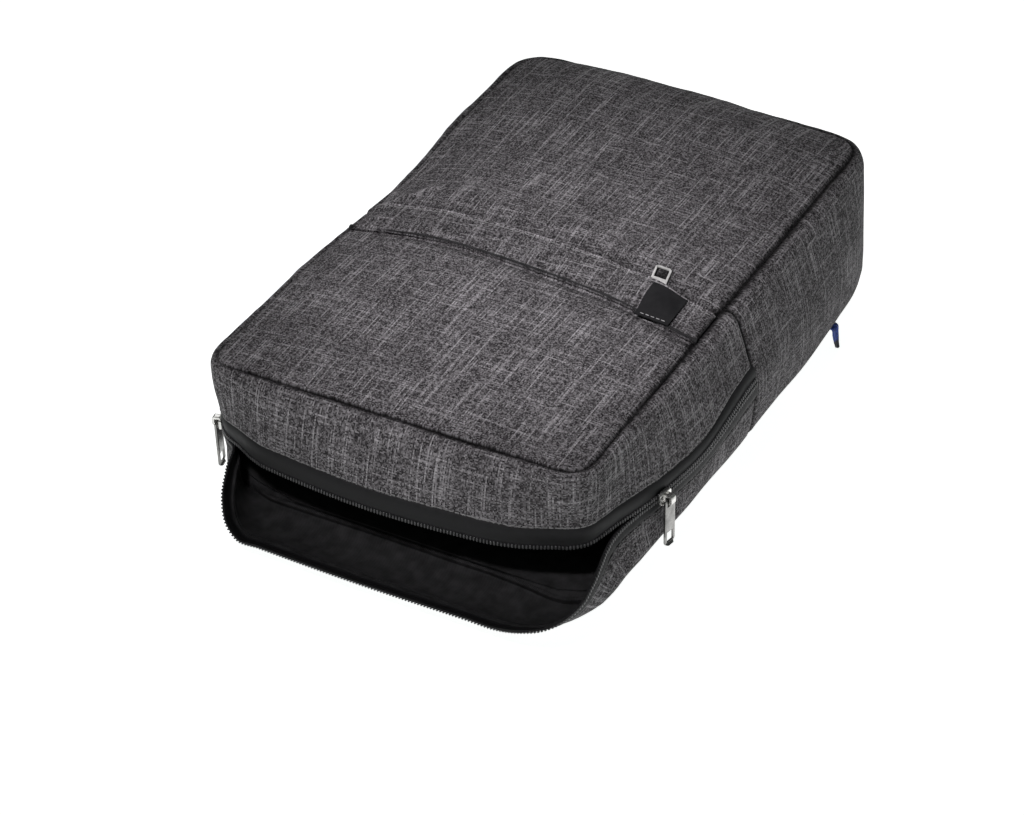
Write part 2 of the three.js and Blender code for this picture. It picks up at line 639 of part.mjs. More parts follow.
// A frame at a place on the zip: X along it, Y up, Z out from the bag, its origin on the hinge bar
function zipFrame(place) {
  const stride = 4;
  const along = shutWall(place + stride, LINE.coil).sub(shutWall(place - stride, LINE.coil));
  along.setZ(0).normalize();
  const up = new THREE.Vector3(0, 0, 1);
  const out = along.clone().cross(up);
  const frame = new THREE.Group();
  frame.quaternion.setFromRotationMatrix(new THREE.Matrix4().makeBasis(along, up, out));
  frame.position.copy(shutWall(place, LINE.coil)).addScaledVector(out, PIN_OUT);
  bag.add(frame);
  return frame;
}

for (const [side, place] of Object.entries(SLIDER_PLACE)) {
  const frame = zipFrame(place);
  addMesh(frame, `slider_${side}`, sliderBody(), nickel());
  addMesh(frame, `puller_${side}`, pullTab(), nickel());
}

// The pocket's pull tab lies on the pocket from under the flap, with its slider at its near end
function addPocketPuller() {
  const { x, near, far, width, thickness, turn, lean, lift, window } = POCKET_PULLER;
  const length = far - near;
  const shape = boxShape(width, length, 0, length / 2);
  const windowLength = length * window.share;
  const windowY = length - window.endBar - windowLength / 2;
  shape.holes.push(boxShape(width - 2 * window.rim, windowLength, 0, windowY));
  const radians = degToRad(turn);
  const end = (y) => {
    const place = x - Math.tan(radians) * (y - (near + far) / 2);
    return new THREE.Vector3(place, y, pocketHeight(place, y) + lift);
  };
  const along = end(far).sub(end(near)).normalize();
  const slope = heightNormal(pocketHeight, x, (near + far) / 2);
  const across = along.clone().cross(slope).normalize().applyAxisAngle(along, degToRad(lean));
  const up = across.clone().cross(along);
  const frame = new THREE.Group();
  frame.quaternion.setFromRotationMatrix(new THREE.Matrix4().makeBasis(across, along, up));
  frame.position.copy(end(near));
  bag.add(frame);
  addMesh(frame, 'pocket_puller', extruded(shape, thickness), nickel());
  const slider = new THREE.BoxGeometry(POCKET_SLIDER.width, POCKET_SLIDER.length, POCKET_SLIDER.height);
  slider.translate(0, -GAP - POCKET_SLIDER.length / 2, POCKET_SLIDER.height / 2 - GAP);
  addMesh(frame, 'pocket_slider', slider, nickel());
}
addPocketPuller();

// The padded back and the lining on its inner face, both with the back seam's outline
function backOutline(inset) {
  const loop = [...zipPlaces.slice(0, -1), ...basePlaces.slice(0, -1)];
  const points = loop.map((place) => {
    const { out } = seamPlan(place);
    const point = shutWall(place, LAST_LINE).addScaledVector(out, -inset);
    return new THREE.Vector2(point.x, point.y);
  });
  return new THREE.Shape(points);
}
const backBottom = BACK_HEIGHT - BACK_PANEL.below;
const liningBottom = backBottom + BACK_PANEL.thickness + GAP;
addMesh(bag, 'back_panel',
  extruded(backOutline(BACK_PANEL.inset), BACK_PANEL.thickness).translate(0, 0, backBottom), cloth());
addMesh(bag, 'back_lining',
  extruded(backOutline(LINING.inset), LINING.thickness).translate(0, 0, liningBottom), blackCloth());

// The tag in the back seam: a short tongue that hangs out from the wall and narrows to its tip
function tagGeometry() {
  const start = openWall(alongSide(TAG.y), LINE.tuck);
  const shares = [0, 0.35, 0.7, 1];
  const grid = (out) => [-0.5, 0.5].map((v) => shares.map((u) => new THREE.Vector3(
    start.x + GAP + out + u * TAG.out,
    TAG.y + v * TAG.width * (1 - TAG.taper * u * u),
    start.z + TAG.lift - TAG.drop * u,
  )));
  return shell(grid(TAG.thickness), grid(0));
}
addMesh(bag, 'side_tag', tagGeometry(), blueCloth());

// A flat band along a route in plan, as an outline of its two edges
function bandShape(route, halfWidth, side) {
  const edge = (sign) => route.map((point, i) => {
    const before = route[Math.max(0, i - 1)];
    const after = route[Math.min(route.length - 1, i + 1)];
    const along = new THREE.Vector2(after.x - before.x, after.y - before.y).normalize();
    const reach = sign * halfWidth;
    return new THREE.Vector2(side * (point.x + reach * along.y), point.y - reach * along.x);
  });
  return new THREE.Shape([...edge(1), ...edge(-1).reverse()]);
}

// A plain ladder lock: a frame with two slots
function buckleShape() {
  const shape = boxShape(BUCKLE.width, BUCKLE.length);
  const offset = (BUCKLE.bar + BUCKLE.slot) / 2;
  for (const sign of [-1, 1]) {
    shape.holes.push(boxShape(BUCKLE.width - 2 * BUCKLE.rim, BUCKLE.slot, 0, sign * offset));
  }
  return shape;
}

for (const [name, side] of [['right', 1], ['left', -1]]) {
  const curve = new THREE.SplineCurve(STRAP_ROUTE.map(({ x, y }) => new THREE.Vector2(x, y)));
  const band = bandShape(curve.getPoints(12), STRAP.halfWidth - STRAP.bevel, side);
  const strap = new THREE.ExtrudeGeometry(band, {
    depth: STRAP.thickness - 2 * STRAP.bevel,
    bevelSize: STRAP.bevel,
    bevelThickness: STRAP.bevel,
    bevelSegments: 2,
  });
  addMesh(bag, `shoulder_strap_${name}`, strap.translate(0, 0, STRAP.bevel), blackCloth());
  const end = STRAP_ROUTE.at(-1);
  const start = { x: end.x, y: end.y + STRAP.bevel + GAP };
  const lock = { x: start.x, y: start.y + WEBBING.straight };
  const beforeLock = { x: start.x, y: start.y + WEBBING.lead };
  const anchor = { x: WEBBING.anchorX, y: WEBBING.anchorY };
  const route = [start, beforeLock, lock, anchor];
  const webbing = extruded(bandShape(route, WEBBING.width / 2, side), WEBBING.thickness);
  const webbingBottom = STRAP.thickness - WEBBING.thickness;
  addMesh(bag, `strap_webbing_${name}`, webbing.translate(0, 0, webbingBottom), plastic());
  const buckle = extruded(buckleShape(), BUCKLE.thickness);
  const buckleY = start.y + BUCKLE.from + BUCKLE.length / 2;
  buckle.translate(side * start.x, buckleY, webbingBottom - GAP - BUCKLE.thickness);
  addMesh(bag, `strap_buckle_${name}`, buckle, plastic());
}

// The origin is on the surface below the middle of the whole part
const box = new THREE.Box3().setFromObject(bag);
const middle = box.getCenter(new THREE.Vector3());
bag.position.set(-middle.x, -middle.y, -box.min.z);

export default bag;
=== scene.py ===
import json
import math

import bmesh
import bpy
import numpy as np
from mathutils import Matrix, Vector, noise


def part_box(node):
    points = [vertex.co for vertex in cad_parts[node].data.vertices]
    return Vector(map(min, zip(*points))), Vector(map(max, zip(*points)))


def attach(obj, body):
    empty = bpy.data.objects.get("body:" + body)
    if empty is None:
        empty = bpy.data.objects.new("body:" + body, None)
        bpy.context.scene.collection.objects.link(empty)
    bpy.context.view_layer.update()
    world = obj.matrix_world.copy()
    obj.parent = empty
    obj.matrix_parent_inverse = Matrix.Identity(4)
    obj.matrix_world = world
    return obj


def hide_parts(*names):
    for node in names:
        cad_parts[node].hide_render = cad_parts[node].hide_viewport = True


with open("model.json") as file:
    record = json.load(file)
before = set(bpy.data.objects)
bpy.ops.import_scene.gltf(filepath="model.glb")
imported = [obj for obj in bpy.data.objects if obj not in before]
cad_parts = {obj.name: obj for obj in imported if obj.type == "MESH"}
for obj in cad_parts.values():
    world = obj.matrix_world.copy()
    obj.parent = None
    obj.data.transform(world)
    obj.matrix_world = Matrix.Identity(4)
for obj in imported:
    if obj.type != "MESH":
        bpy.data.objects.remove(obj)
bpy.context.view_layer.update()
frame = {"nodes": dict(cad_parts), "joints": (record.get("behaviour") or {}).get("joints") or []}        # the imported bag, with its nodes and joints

mm = 0.001


# shading: values that do sums in nodes, and one way to make any node

class NodeValue:
    def __init__(self, maker, socket):
        self.maker = maker
        self.socket = socket

    def sum(self, operation, left, right):
        return self.maker.node("ShaderNodeMath", {"operation": operation}, {0: left, 1: right})

    def __add__(self, other):
        return self.sum("ADD", self, other)

    def __sub__(self, other):
        return self.sum("SUBTRACT", self, other)

    def __rsub__(self, other):
        return self.sum("SUBTRACT", other, self)

    def __mul__(self, other):
        return self.sum("MULTIPLY", self, other)

    def __truediv__(self, other):
        return self.sum("DIVIDE", self, other)

    def __mod__(self, other):
        return self.sum("FLOORED_MODULO", self, other)

    __radd__ = __add__
    __rmul__ = __mul__


class Finish:
    def __init__(self, name):
        self.material = bpy.data.materials.new(name)
        self.material.use_nodes = True
        self.tree = self.material.node_tree
        self.shader = self.tree.nodes["Principled BSDF"]

    def node(self, kind, settings=None, inputs=None, output=0):
        made = self.tree.nodes.new(kind)
        for key, value in (settings or {}).items():
            if key == "stops":
                self.setStops(made.color_ramp.elements, value)
            else:
                setattr(made, key, value)
        for key, value in (inputs or {}).items():
            self.feed(made.inputs[key], value)
        return NodeValue(self, made.outputs[output])

    def setStops(self, elements, stops):
        while len(elements) < len(stops):
            elements.new(1.0)
        for element, (place, shade) in zip(elements, stops):
            element.position = place
            element.color = (*shade, 1.0)

    def feed(self, socket, value):
        if isinstance(value, NodeValue):
            self.tree.links.new(value.socket, socket)
        else:
            socket.default_value = value

    def set(self, **values):
        for key, value in values.items():
            self.feed(self.shader.inputs[key.replace("_", " ")], value)

    def split(self, vector):
        parts = self.node("ShaderNodeSeparateXYZ", inputs={0: vector}).socket.node
        return [NodeValue(self, output) for output in parts.outputs]

    def join(self, x, y):
        return self.node("ShaderNodeCombineXYZ", inputs={0: x, 1: y})

    def single(self, operation, value):
        return self.node("ShaderNodeMath", {"operation": operation}, {0: value})

    def ramp(self, value, stops):
        return self.node("ShaderNodeValToRGB", {"stops": stops}, {0: value})

    def greys(self, value, low, high, fromValue=0.3, toValue=0.7):
        return self.ramp(value, [(fromValue, (low, low, low)), (toValue, (high, high, high))])

    def cloud(self, vector, scale, detail=2.0):
        return self.node("ShaderNodeTexNoise", None, {"Vector": vector, "Scale": scale, "Detail": detail})

    def multiply(self, first, second):
        settings = {"data_type": "RGBA", "blend_type": "MULTIPLY"}
        return self.node("ShaderNodeMix", settings, {0: 1.0, 6: first, 7: second}, output=2)

    def bump(self, height, distance, strength):
        inputs = {"Height": height, "Distance": distance, "Strength": strength}
        self.set(Normal=self.node("ShaderNodeBump", None, inputs))

    def clothPlace(self):
        return self.node("ShaderNodeUVMap", {"uv_map": "cloth"})

    def objectPlace(self):
        return self.node("ShaderNodeTexCoord", output=3)


# grey slub weave: a fine speckle of crossing threads, with long thin light threads both ways
greyWeave = {
    "pitch": 0.85 * mm,
    "warpLength": 46 * mm,
    "weftLength": 28 * mm,
    "warpShift": 3.71,      # keeps the clouds of neighbouring threads apart
    "weftShift": 5.13,
    "speckle": 0.52,
    "warpStreak": 0.46,
    "weftStreak": 0.36,
    "warpRange": (0.52, 0.72),
    "weftRange": (0.54, 0.72),
    "underShare": 0.35,      # how much a thread loses where it passes under
    "stops": [(0.0, (0.009, 0.0085, 0.009)), (0.26, (0.062, 0.058, 0.061)), (0.9, (0.32, 0.31, 0.32))],
    "toneScale": 18.0,
    "toneRange": (0.92, 1.06),
    "roughness": 0.9,
    "gloss": 0.1,
    "depth": 0.2 * mm,
    "relief": 0.6,
    "paintedShadeScale": 0.93,
}


def makeGreyWeave():
    style = greyWeave
    finish = Finish("greyWeave")
    u, v, _ = finish.split(finish.clothPlace())
    warp = finish.single("FLOOR", u / style["pitch"])
    weft = finish.single("FLOOR", v / style["pitch"])
    over = (warp + weft) % 2
    warpCloud = finish.cloud(finish.join(warp * style["warpShift"], v / style["warpLength"]), 1.0, 1.0)
    weftCloud = finish.cloud(finish.join(u / style["weftLength"], weft * style["weftShift"]), 1.0, 1.0)
    cellPlace = {"Vector": finish.join(warp, weft)}
    cell = finish.node("ShaderNodeTexWhiteNoise", {"noise_dimensions": "2D"}, cellPlace)
    under = style["underShare"]
    warpLight = finish.greys(warpCloud, 0.0, style["warpStreak"], *style["warpRange"])
    weftLight = finish.greys(weftCloud, 0.0, style["weftStreak"], *style["weftRange"])
    warpLight = warpLight * (1.0 - under + under * over)
    weftLight = weftLight * (1.0 - under * over)
    threads = finish.ramp(cell * style["speckle"] + warpLight + weftLight, style["stops"])
    tone = finish.greys(finish.cloud(finish.objectPlace(), style["toneScale"]), *style["toneRange"])
    # the 'seam' attribute is painted shading: shade in the seams, beside the flap and under the tab, and
    # highlights on the folds and the flap's hem
    seam = finish.node("ShaderNodeAttribute", {"attribute_name": "seam"}, output=2)
    paintedShading = 1.0 - seam * style["paintedShadeScale"]
    crown = finish.single("ABSOLUTE", finish.single("SINE", u * (math.pi / style["pitch"])))
    ridge = finish.single("ABSOLUTE", finish.single("SINE", v * (math.pi / style["pitch"])))
    colour = finish.multiply(finish.multiply(threads, tone), paintedShading)
    finish.set(Base_Color=colour, Roughness=style["roughness"], Specular_IOR_Level=style["gloss"])
    finish.bump(ridge + (crown - ridge) * over, style["depth"], style["relief"])
    return finish.material


# plain weave in one colour: the lining, the label, the straps and their webbing
plainWeave = {"cloudScale": 120.0, "threadShare": 0.3, "roughness": 0.9, "gloss": 0.12, "relief": 0.5}


def makePlainWeave(name, pitch, low, high, depth):
    style = plainWeave
    finish = Finish(name)
    u, v, _ = finish.split(finish.clothPlace())
    across = finish.single("SINE", u * (2 * math.pi / pitch))
    along = finish.single("SINE", v * (2 * math.pi / pitch))
    relief = across * along
    cloud = finish.cloud(finish.objectPlace(), style["cloudScale"])
    mix = relief * style["threadShare"] + cloud
    finish.set(Base_Color=finish.ramp(mix, [(0.2, low), (0.8, high)]))
    finish.set(Roughness=style["roughness"], Specular_IOR_Level=style["gloss"])
    finish.bump(relief, depth, style["relief"])
    return finish.material


# smooth coated zip tape, with a faint rib along it
zipTape = {
    "rib": 0.9 * mm, "low": (0.006, 0.006, 0.0065), "high": (0.012, 0.012, 0.013),
    "cloudScale": 240.0, "roughness": (0.56, 0.7), "gloss": 0.2, "depth": 0.05 * mm, "relief": 0.4,
}


def makeZipTape():
    style = zipTape
    finish = Finish("coatedTape")
    place = finish.clothPlace()
    _, v, _ = finish.split(place)
    rib = finish.single("SINE", v * (2 * math.pi / style["rib"]))
    cloud = finish.cloud(place, style["cloudScale"], 3.0)
    finish.set(Base_Color=finish.ramp(cloud, [(0.3, style["low"]), (0.75, style["high"])]))
    finish.set(Roughness=finish.greys(cloud, *style["roughness"]), Specular_IOR_Level=style["gloss"])
    finish.bump(rib * 0.5 + cloud, style["depth"], style["relief"])
    return finish.material


# the tag's ribbon: blue, turning dark below a set height at its lower tip
ribbon = {"tip": 8 * mm, "fade": 1.5 * mm, "dark": (0.006, 0.007, 0.016), "blue": (0.016, 0.046, 0.25)}


def makeRibbon():
    style = ribbon
    finish = Finish("blueRibbon")
    _, _, height = finish.split(finish.objectPlace())
    threads = finish.cloud(finish.objectPlace(), 900.0)
    above = (height - style["tip"]) / style["fade"]
    colour = finish.ramp(above, [(0.0, style["dark"]), (1.0, style["blue"])])
    finish.set(Base_Color=finish.multiply(colour, finish.greys(threads, 0.6, 1.3)), Roughness=0.7)
    return finish.material


def makePlastic(name, low, high, shine):
    finish = Finish(name)
    cloud = finish.cloud(finish.objectPlace(), 300.0)
    finish.set(Base_Color=finish.ramp(cloud, [(0.3, low), (0.7, high)]))
    finish.set(Roughness=finish.greys(cloud, shine, shine + 0.12))
    return finish.material


# polished nickel with fine rubbed scratches
nickel = {
    "tab": {"colour": (0.27, 0.266, 0.258), "dull": (0.17, 0.168, 0.164)},
    "crown": {"colour": (0.74, 0.73, 0.71), "dull": (0.52, 0.515, 0.505)},
}


def makeNickel(name):
    style = nickel[name]
    finish = Finish(name + "Nickel")
    place = finish.objectPlace()
    patch = finish.cloud(place, 220.0, 3.0)
    scratch = finish.cloud(finish.node("ShaderNodeMapping", None, {0: place, 3: (60, 900, 120)}), 6.0, 4.0)
    finish.set(Metallic=1.0, Base_Color=finish.ramp(patch, [(0.3, style["dull"]), (0.6, style["colour"])]))
    finish.set(Roughness=finish.greys(scratch, 0.18, 0.36))
    return finish.material


finishes = {
    "grey": makeGreyWeave(),
    "lining": makePlainWeave("lining", 1.1 * mm, (0.010, 0.010, 0.0105), (0.034, 0.034, 0.035), 0.1 * mm),
    "label": makePlainWeave("labelSatin", 0.4 * mm, (0.008, 0.008, 0.009), (0.018, 0.018, 0.019), 0.06 * mm),
    "pad": makePlainWeave("padMesh", 2.2 * mm, (0.012, 0.012, 0.013), (0.032, 0.032, 0.033), 0.3 * mm),
    "webbing": makePlainWeave("webbing", 1.6 * mm, (0.010, 0.010, 0.011), (0.026, 0.026, 0.027), 0.3 * mm),
    "ribbon": makeRibbon(),
    "thread": makePlastic("sewingThread", (0.26, 0.26, 0.26), (0.40, 0.40, 0.40), 0.7),
    # the pocket's pull tab: nickel drawn as a pale grey without metal, its paleness a painted reflection
    "tab": makePlastic("nickelPaintedShine", (0.40, 0.40, 0.39), (0.56, 0.555, 0.545), 0.3),
    "greyThread": makePlastic("greyThread", (0.13, 0.13, 0.13), (0.22, 0.22, 0.22), 0.7),
    "tape": makeZipTape(),
    "coil": makePlastic("coilPlastic", (0.020, 0.020, 0.021), (0.050, 0.050, 0.052), 0.3),
    "buckle": makePlastic("buckleNylon", (0.013, 0.013, 0.014), (0.020, 0.020, 0.021), 0.4),
    "nickel": makeNickel("tab"),
    "crown": makeNickel("crown"),
}
print("finishes made:", len(finishes))


# reading the cloth solids: the outer face of each is a grid of points

weldDistance = 0.01 * mm
rimTurn = math.radians(72)


def outerFaces(mesh, facing):
    start = max(mesh.faces, key=facing)
    found = {start}
    waiting = [start]
    while waiting:
        face = waiting.pop()
        near = {other for edge in face.edges for other in edge.link_faces} - found
        near = {other for other in near if face.normal.angle(other.normal) < rimTurn}
        found |= near
        waiting += near
    return found


def thirdCorner(face, first, second):
    return next(vert for vert in face.verts if vert not in (first, second))


# Each cell is two triangles that share one diagonal. The walk starts at a corner that only one triangle
# meets, follows the border to the next corner, and reaches each new row across the last one.
def cadGrid(nodeName, facing, downRow):
    mesh = bmesh.new()
    mesh.from_mesh(frame["nodes"][nodeName].data)
    bmesh.ops.remove_doubles(mesh, verts=mesh.verts, dist=weldDistance)
    mesh.normal_update()
    left = outerFaces(mesh, facing)
    meets = {vert: sum(face in left for face in vert.link_faces) for face in left for vert in face.verts}
    edges = {edge for face in left for edge in face.edges}
    borders = {edge for edge in edges if sum(near in left for near in edge.link_faces) == 1}

    def takeFace(first, second):
        face = next((face for face in left if first in face.verts and second in face.verts), None)
        left.discard(face)
        return face

    corner = next(vert for vert in meets if meets[vert] == 1)
    loop = next(loop for loop in corner.link_loops if loop.face in left)
    row = [corner, loop.link_loop_prev.vert]
    while meets[row[-1]] != 2:
        ends = [edge.other_vert(row[-1]) for edge in row[-1].link_edges if edge in borders]
        row.append(next(vert for vert in ends if vert != row[-2]))
    rows = [row]
    while left:
        made = []
        for here, after in zip(row, row[1:]):
            face = takeFace(here, after)
            if not made:
                made.append(thirdCorner(face, here, after))
            made.append(thirdCorner(takeFace(after, made[-1]), after, made[-1]))
        rows.append(made)
        row = made
    grid = np.array([[vert.co[:] for vert in line] for line in rows])[:, ::-1]
    mesh.free()
    if (grid[:, -1] - grid[:, 0]).mean(0) @ np.array(downRow) < 0:
        grid = grid[::-1, ::-1]
    return grid


def facingUp(face):
    return face.normal.z


def facingOut(face):
    return face.normal.x * face.calc_center_median().x


def chordRun(grid, axis):
    steps = np.linalg.norm(np.diff(grid, axis=axis), axis=2).mean(axis=1 - axis)
    return np.concatenate([[0.0], np.cumsum(steps)])


# a smooth curve through the points, with each slope taken from the neighbours
def curveThrough(points, run, at):
    slopes = np.gradient(points, run, axis=0)
    index = np.clip(np.searchsorted(run, at, side="right") - 1, 0, len(run) - 2)
    span = (run[index + 1] - run[index]).reshape(-1, 1, 1)
    t = (at - run[index]).reshape(-1, 1, 1) / span
    start = (1 + 2 * t) * (1 - t) ** 2 * points[index] + t * (1 - t) ** 2 * span * slopes[index]
    return start + t * t * (3 - 2 * t) * points[index + 1] + t * t * (t - 1) * span * slopes[index + 1]


edgeLadder = np.array([0.0, 0.35, 0.8, 1.4, 2.1, 3.0, 4.2]) * mm


# places along a run: close together at both ends, where the seams roll under
def ladder(length, step):
    inner = length - 2 * edgeLadder[-1]
    count = max(2, round(inner / step))
    middle = edgeLadder[-1] + inner * np.arange(1, count) / count
    return np.concatenate([edgeLadder, middle, length - edgeLadder[::-1]])


seedShift = 17.3


def noiseOver(points, size, seed):
    flat = points.reshape(-1, 3) / size + seed * seedShift
    return np.array([noise.noise(Vector(point)) for point in flat]).reshape(points.shape[:2])


# how the cloth is worked: seams, hems, folds, and the places that stay calm, with the painted shade and
# highlights that go with them
seamShadeShare = 1.15
gatherSize = 9 * mm
puckerReach = 9 * mm
turnRadius = 1.5 * mm
edgeShadeReach = 4.0 * mm
hemReach = 1.6 * mm
hemLight = 0.6
foldLight = 0.45
slackFrom = -126 * mm      # the flap seam is slackest here, and tight from slackTo on
slackTo = -66 * mm
slackLeast = 0.25
# how much paler the painted seam shade is where the cloth faces left
leftPale = 0.75
quietPlace = (0.090, -0.015, 0.115)
quietReach = 45 * mm
sheetStep = {      # how far apart the points of each sheet are
    "front": 2.2 * mm, "wall": 2.4 * mm, "tape": 2.2 * mm, "label": 1.5 * mm,
    "lining": 4 * mm, "webbing": 3 * mm, "tag": 0.8 * mm,
}


def unitRows(rows):
    return rows / np.linalg.norm(rows, axis=-1, keepdims=True)


class Sheet:
    def __init__(self, grid, step):
        self.runs = [chordRun(grid, 0), chordRun(grid, 1)]
        self.at = [ladder(run[-1], step) for run in self.runs]
        rows = curveThrough(grid, self.runs[0], self.at[0])
        self.points = curveThrough(rows.swapaxes(0, 1), self.runs[1], self.at[1]).swapaxes(0, 1)
        self.size = (self.runs[1][-1], self.runs[0][-1])
        self.uv = None
        self.paintedShading = np.zeros(self.points.shape[:2])

    def normals(self):
        down = np.gradient(self.points, self.at[0], axis=0)
        along = np.gradient(self.points, self.at[1], axis=1)
        return unitRows(np.cross(along, down))

    # how far each point is from a border: first row, last row, first column, last column
    def fromBorder(self, border):
        at = self.at[border // 2]
        gap = at if border % 2 == 0 else at[-1] - at
        return np.broadcast_to(gap[:, None] if border < 2 else gap[None], self.points.shape[:2])

    def push(self, amount):
        self.points = self.points + self.normals() * amount[..., None]

    # how tight the seam along the flap is: slack towards the bag's left edge, where the cloth lies flat; its
    # painted shade eases off with it
    def tightness(self):
        share = np.clip((self.points[..., 0] - slackFrom) / (slackTo - slackFrom), 0, 1)
        return slackLeast + (1 - slackLeast) * share * share * (3 - 2 * share)

    # the cloth turns under into each seam, with small puckers beside it, and painted shade along it that is
    # paler where the cloth faces left
    def sewSeams(self, seams, pucker, seed, slackBorder):
        amount = np.zeros(self.points.shape[:2])
        gathers = noiseOver(self.points, gatherSize, seed)
        leftward = np.clip(-self.normals()[..., 0], 0, 1)
        for border, (depth, reach, shade) in seams.items():
            gap = self.fromBorder(border)
            tight = self.tightness() if border == slackBorder else 1.0
            amount -= tight * depth * mm * np.exp(-((gap / (reach * mm)) ** 2))
            amount += pucker * gathers * np.exp(-gap / puckerReach) * (1 - np.exp(-gap / (reach * mm)))
            shade = shade * tight * (1 - leftPale * leftward)
            self.paintedShading = self.paintedShading + shade * np.exp(-((gap / (seamShadeShare * reach * mm)) ** 2))
        self.push(amount)

    # soft unevenness, none of it above the solid and little of it under the label and the pull tab
    def swell(self, height, size, seed):
        away = np.linalg.norm(self.points - np.array(quietPlace), axis=2)
        calm = 1 - np.exp(-((away / quietReach) ** 2))
        self.push(height * (noiseOver(self.points, size, seed) - 0.5) * calm)

    # the last column turned in, as a seam allowance is, so that no gap shows beside the next piece
    def turnIn(self, reach):
        edge = self.points[:, -1]
        onward = unitRows(edge - self.points[:, -2])
        inward = -self.normals()[:, -1]
        angles = np.linspace(0, math.pi / 2, 5)[1:]
        turned = [edge + turnRadius * (math.sin(a) * onward + (1 - math.cos(a)) * inward) for a in angles]
        turned.append(turned[-1] + reach * inward)
        added = np.concatenate([angles * turnRadius, [math.pi / 2 * turnRadius + reach]])
        self.points = np.concatenate([self.points, np.stack(turned, axis=1)], axis=1)
        self.at[1] = np.concatenate([self.at[1], self.at[1][-1] + added])
        self.paintedShading = np.concatenate([self.paintedShading, np.zeros((len(edge), len(turned)))], axis=1)

    # folds raised on the cloth, each crest with a painted highlight
    def folds(self, rows):
        amount = np.zeros(self.points.shape[:2])
        for fold in rows:
            turn = math.radians(fold["angle"])
            away = self.points[..., :2] - np.array([fold["x"], fold["y"]]) * mm
            along = away @ np.array([math.cos(turn), math.sin(turn)])
            across = away @ np.array([-math.sin(turn), math.cos(turn)])
            ends = np.exp(-((along / (0.5 * fold["length"] * mm)) ** 4))
            crest = ends * np.exp(-((across / (fold["width"] * mm)) ** 2))
            amount += fold["height"] * mm * crest
            self.paintedShading = self.paintedShading - foldLight * crest ** 3
        self.push(amount)

    # shade that a piece lying on the sheet casts: beyond a free edge, and round a place
    def shadeBeyond(self, line, shade):
        edge = np.interp(self.points[..., 0], line[:, 0], line[:, 1])
        beyond = self.points[..., 1] - edge - edgeShadeReach
        self.paintedShading = self.paintedShading + shade * np.exp(-((beyond / edgeShadeReach) ** 2))

    def shadeRound(self, place, reach, shade):
        away = np.linalg.norm(self.points[..., :2] - np.array(place), axis=2)
        self.paintedShading = self.paintedShading + shade * np.exp(-((away / reach) ** 4))

    def piece(self, name, finishNames, thickness, rim=1):
        rows, columns = self.points.shape[:2]
        uv = np.stack(np.meshgrid(*self.at, indexing="ij"), axis=2) if self.uv is None else self.uv
        index = np.arange(rows * columns).reshape(rows, columns)
        corners = [index[:-1, :-1], index[:-1, 1:], index[1:, 1:], index[1:, :-1]]
        faces = np.stack(corners, axis=2).reshape(-1, 4)
        mesh = bpy.data.meshes.new(name)
        mesh.from_pydata(self.points.reshape(-1, 3).tolist(), [], faces.tolist())
        layer = mesh.uv_layers.new(name="cloth")
        layer.data.foreach_set("uv", uv.reshape(-1, 2)[faces.reshape(-1)].astype("f").reshape(-1))
        # the painted shade and highlights go out as the 'seam' attribute
        seam = mesh.attributes.new("seam", "FLOAT", "POINT")
        seam.data.foreach_set("value", np.minimum(self.paintedShading, 1).astype("f").reshape(-1))
        for finishName in finishNames:
            mesh.materials.append(finishes[finishName])
        piece = bpy.data.objects.new(name, mesh)
        bpy.context.collection.objects.link(piece)
        inside = len(finishNames) - 1
        addModifier(piece, "SOLIDIFY", thickness=thickness, offset=-1.0, material_offset=inside,
                    material_offset_rim=min(rim, inside))
        smooth(piece)
        return piece


def pick(piece):
    bpy.ops.object.select_all(action="DESELECT")
    piece.select_set(True)
    bpy.context.view_layer.objects.active = piece


def addModifier(piece, kind, **settings):
    pick(piece)
    modifier = piece.modifiers.new(kind.lower(), kind)
    for key, value in settings.items():
        setattr(modifier, key, value)
    bpy.ops.object.modifier_apply(modifier=modifier.name)


def smooth(piece, angle=40):
    pick(piece)
    bpy.ops.object.shade_smooth_by_angle(angle=math.radians(angle))


def handOver(piece, body, slot, *nodes):
    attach(piece, body)
    if nodes:
        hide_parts(*nodes)


# The front of the bag: panel, pocket, and the flap between them. Borders are numbered as first row, last
# row, first column and last column, and each seam has its depth and reach in millimetres, and its painted
# shade.
edgeSeam = (2.0, 1.9, 1.0)
leftSeam = (1.3, 1.9, 0.25)      # flatter, with paler painted shade, as on the left edge of the bag
# a sheet's tone darkens all of it; the flap's is partly the cloth's dye and partly painted shade
frontSheets = {
    "front_panel": {"seams": {0: edgeSeam, 1: (1.4, 4.0, 0.42), 2: leftSeam, 3: edgeSeam}, "slack": 1,
                    "pucker": 0.5, "swell": 0.9, "thickness": 2.0, "tone": 0.0},
    "pocket_panel": {"seams": {1: edgeSeam, 2: leftSeam, 3: edgeSeam}, "slack": None,
                     "pucker": 0.5, "swell": 0.9, "thickness": 2.0, "tone": 0.0},
    "pocket_flap": {"seams": {0: (3.3, 4.2, 0.58), 2: (2.6, 3.0, 0.1), 3: (1.2, 1.4, 0.9)}, "slack": 0,
                    "pucker": 0.5, "swell": 0.4, "thickness": 1.6, "tone": 0.14, "rim": 0, "hem": 0.5},
}
# painted shadow on the pocket: beyond the flap's free edge, and under the pull tab's window
flapShade = 0.45
frontSwellSize = 55 * mm
tabWindow = {"place": (83.5 * mm, 3.0 * mm), "reach": 6.5 * mm, "shade": 0.9}
frontFolds = [
    {"x": -108, "y": 22, "angle": 38, "length": 44, "width": 4.5, "height": 1.8},
    {"x": -112, "y": 8, "angle": 28, "length": 40, "width": 3.5, "height": 1.5},
    {"x": -116, "y": -12, "angle": 12, "length": 30, "width": 3, "height": 1.4},
    {"x": -116, "y": -21, "angle": 5, "length": 26, "width": 2.6, "height": 1.2},
]
sheets = {}


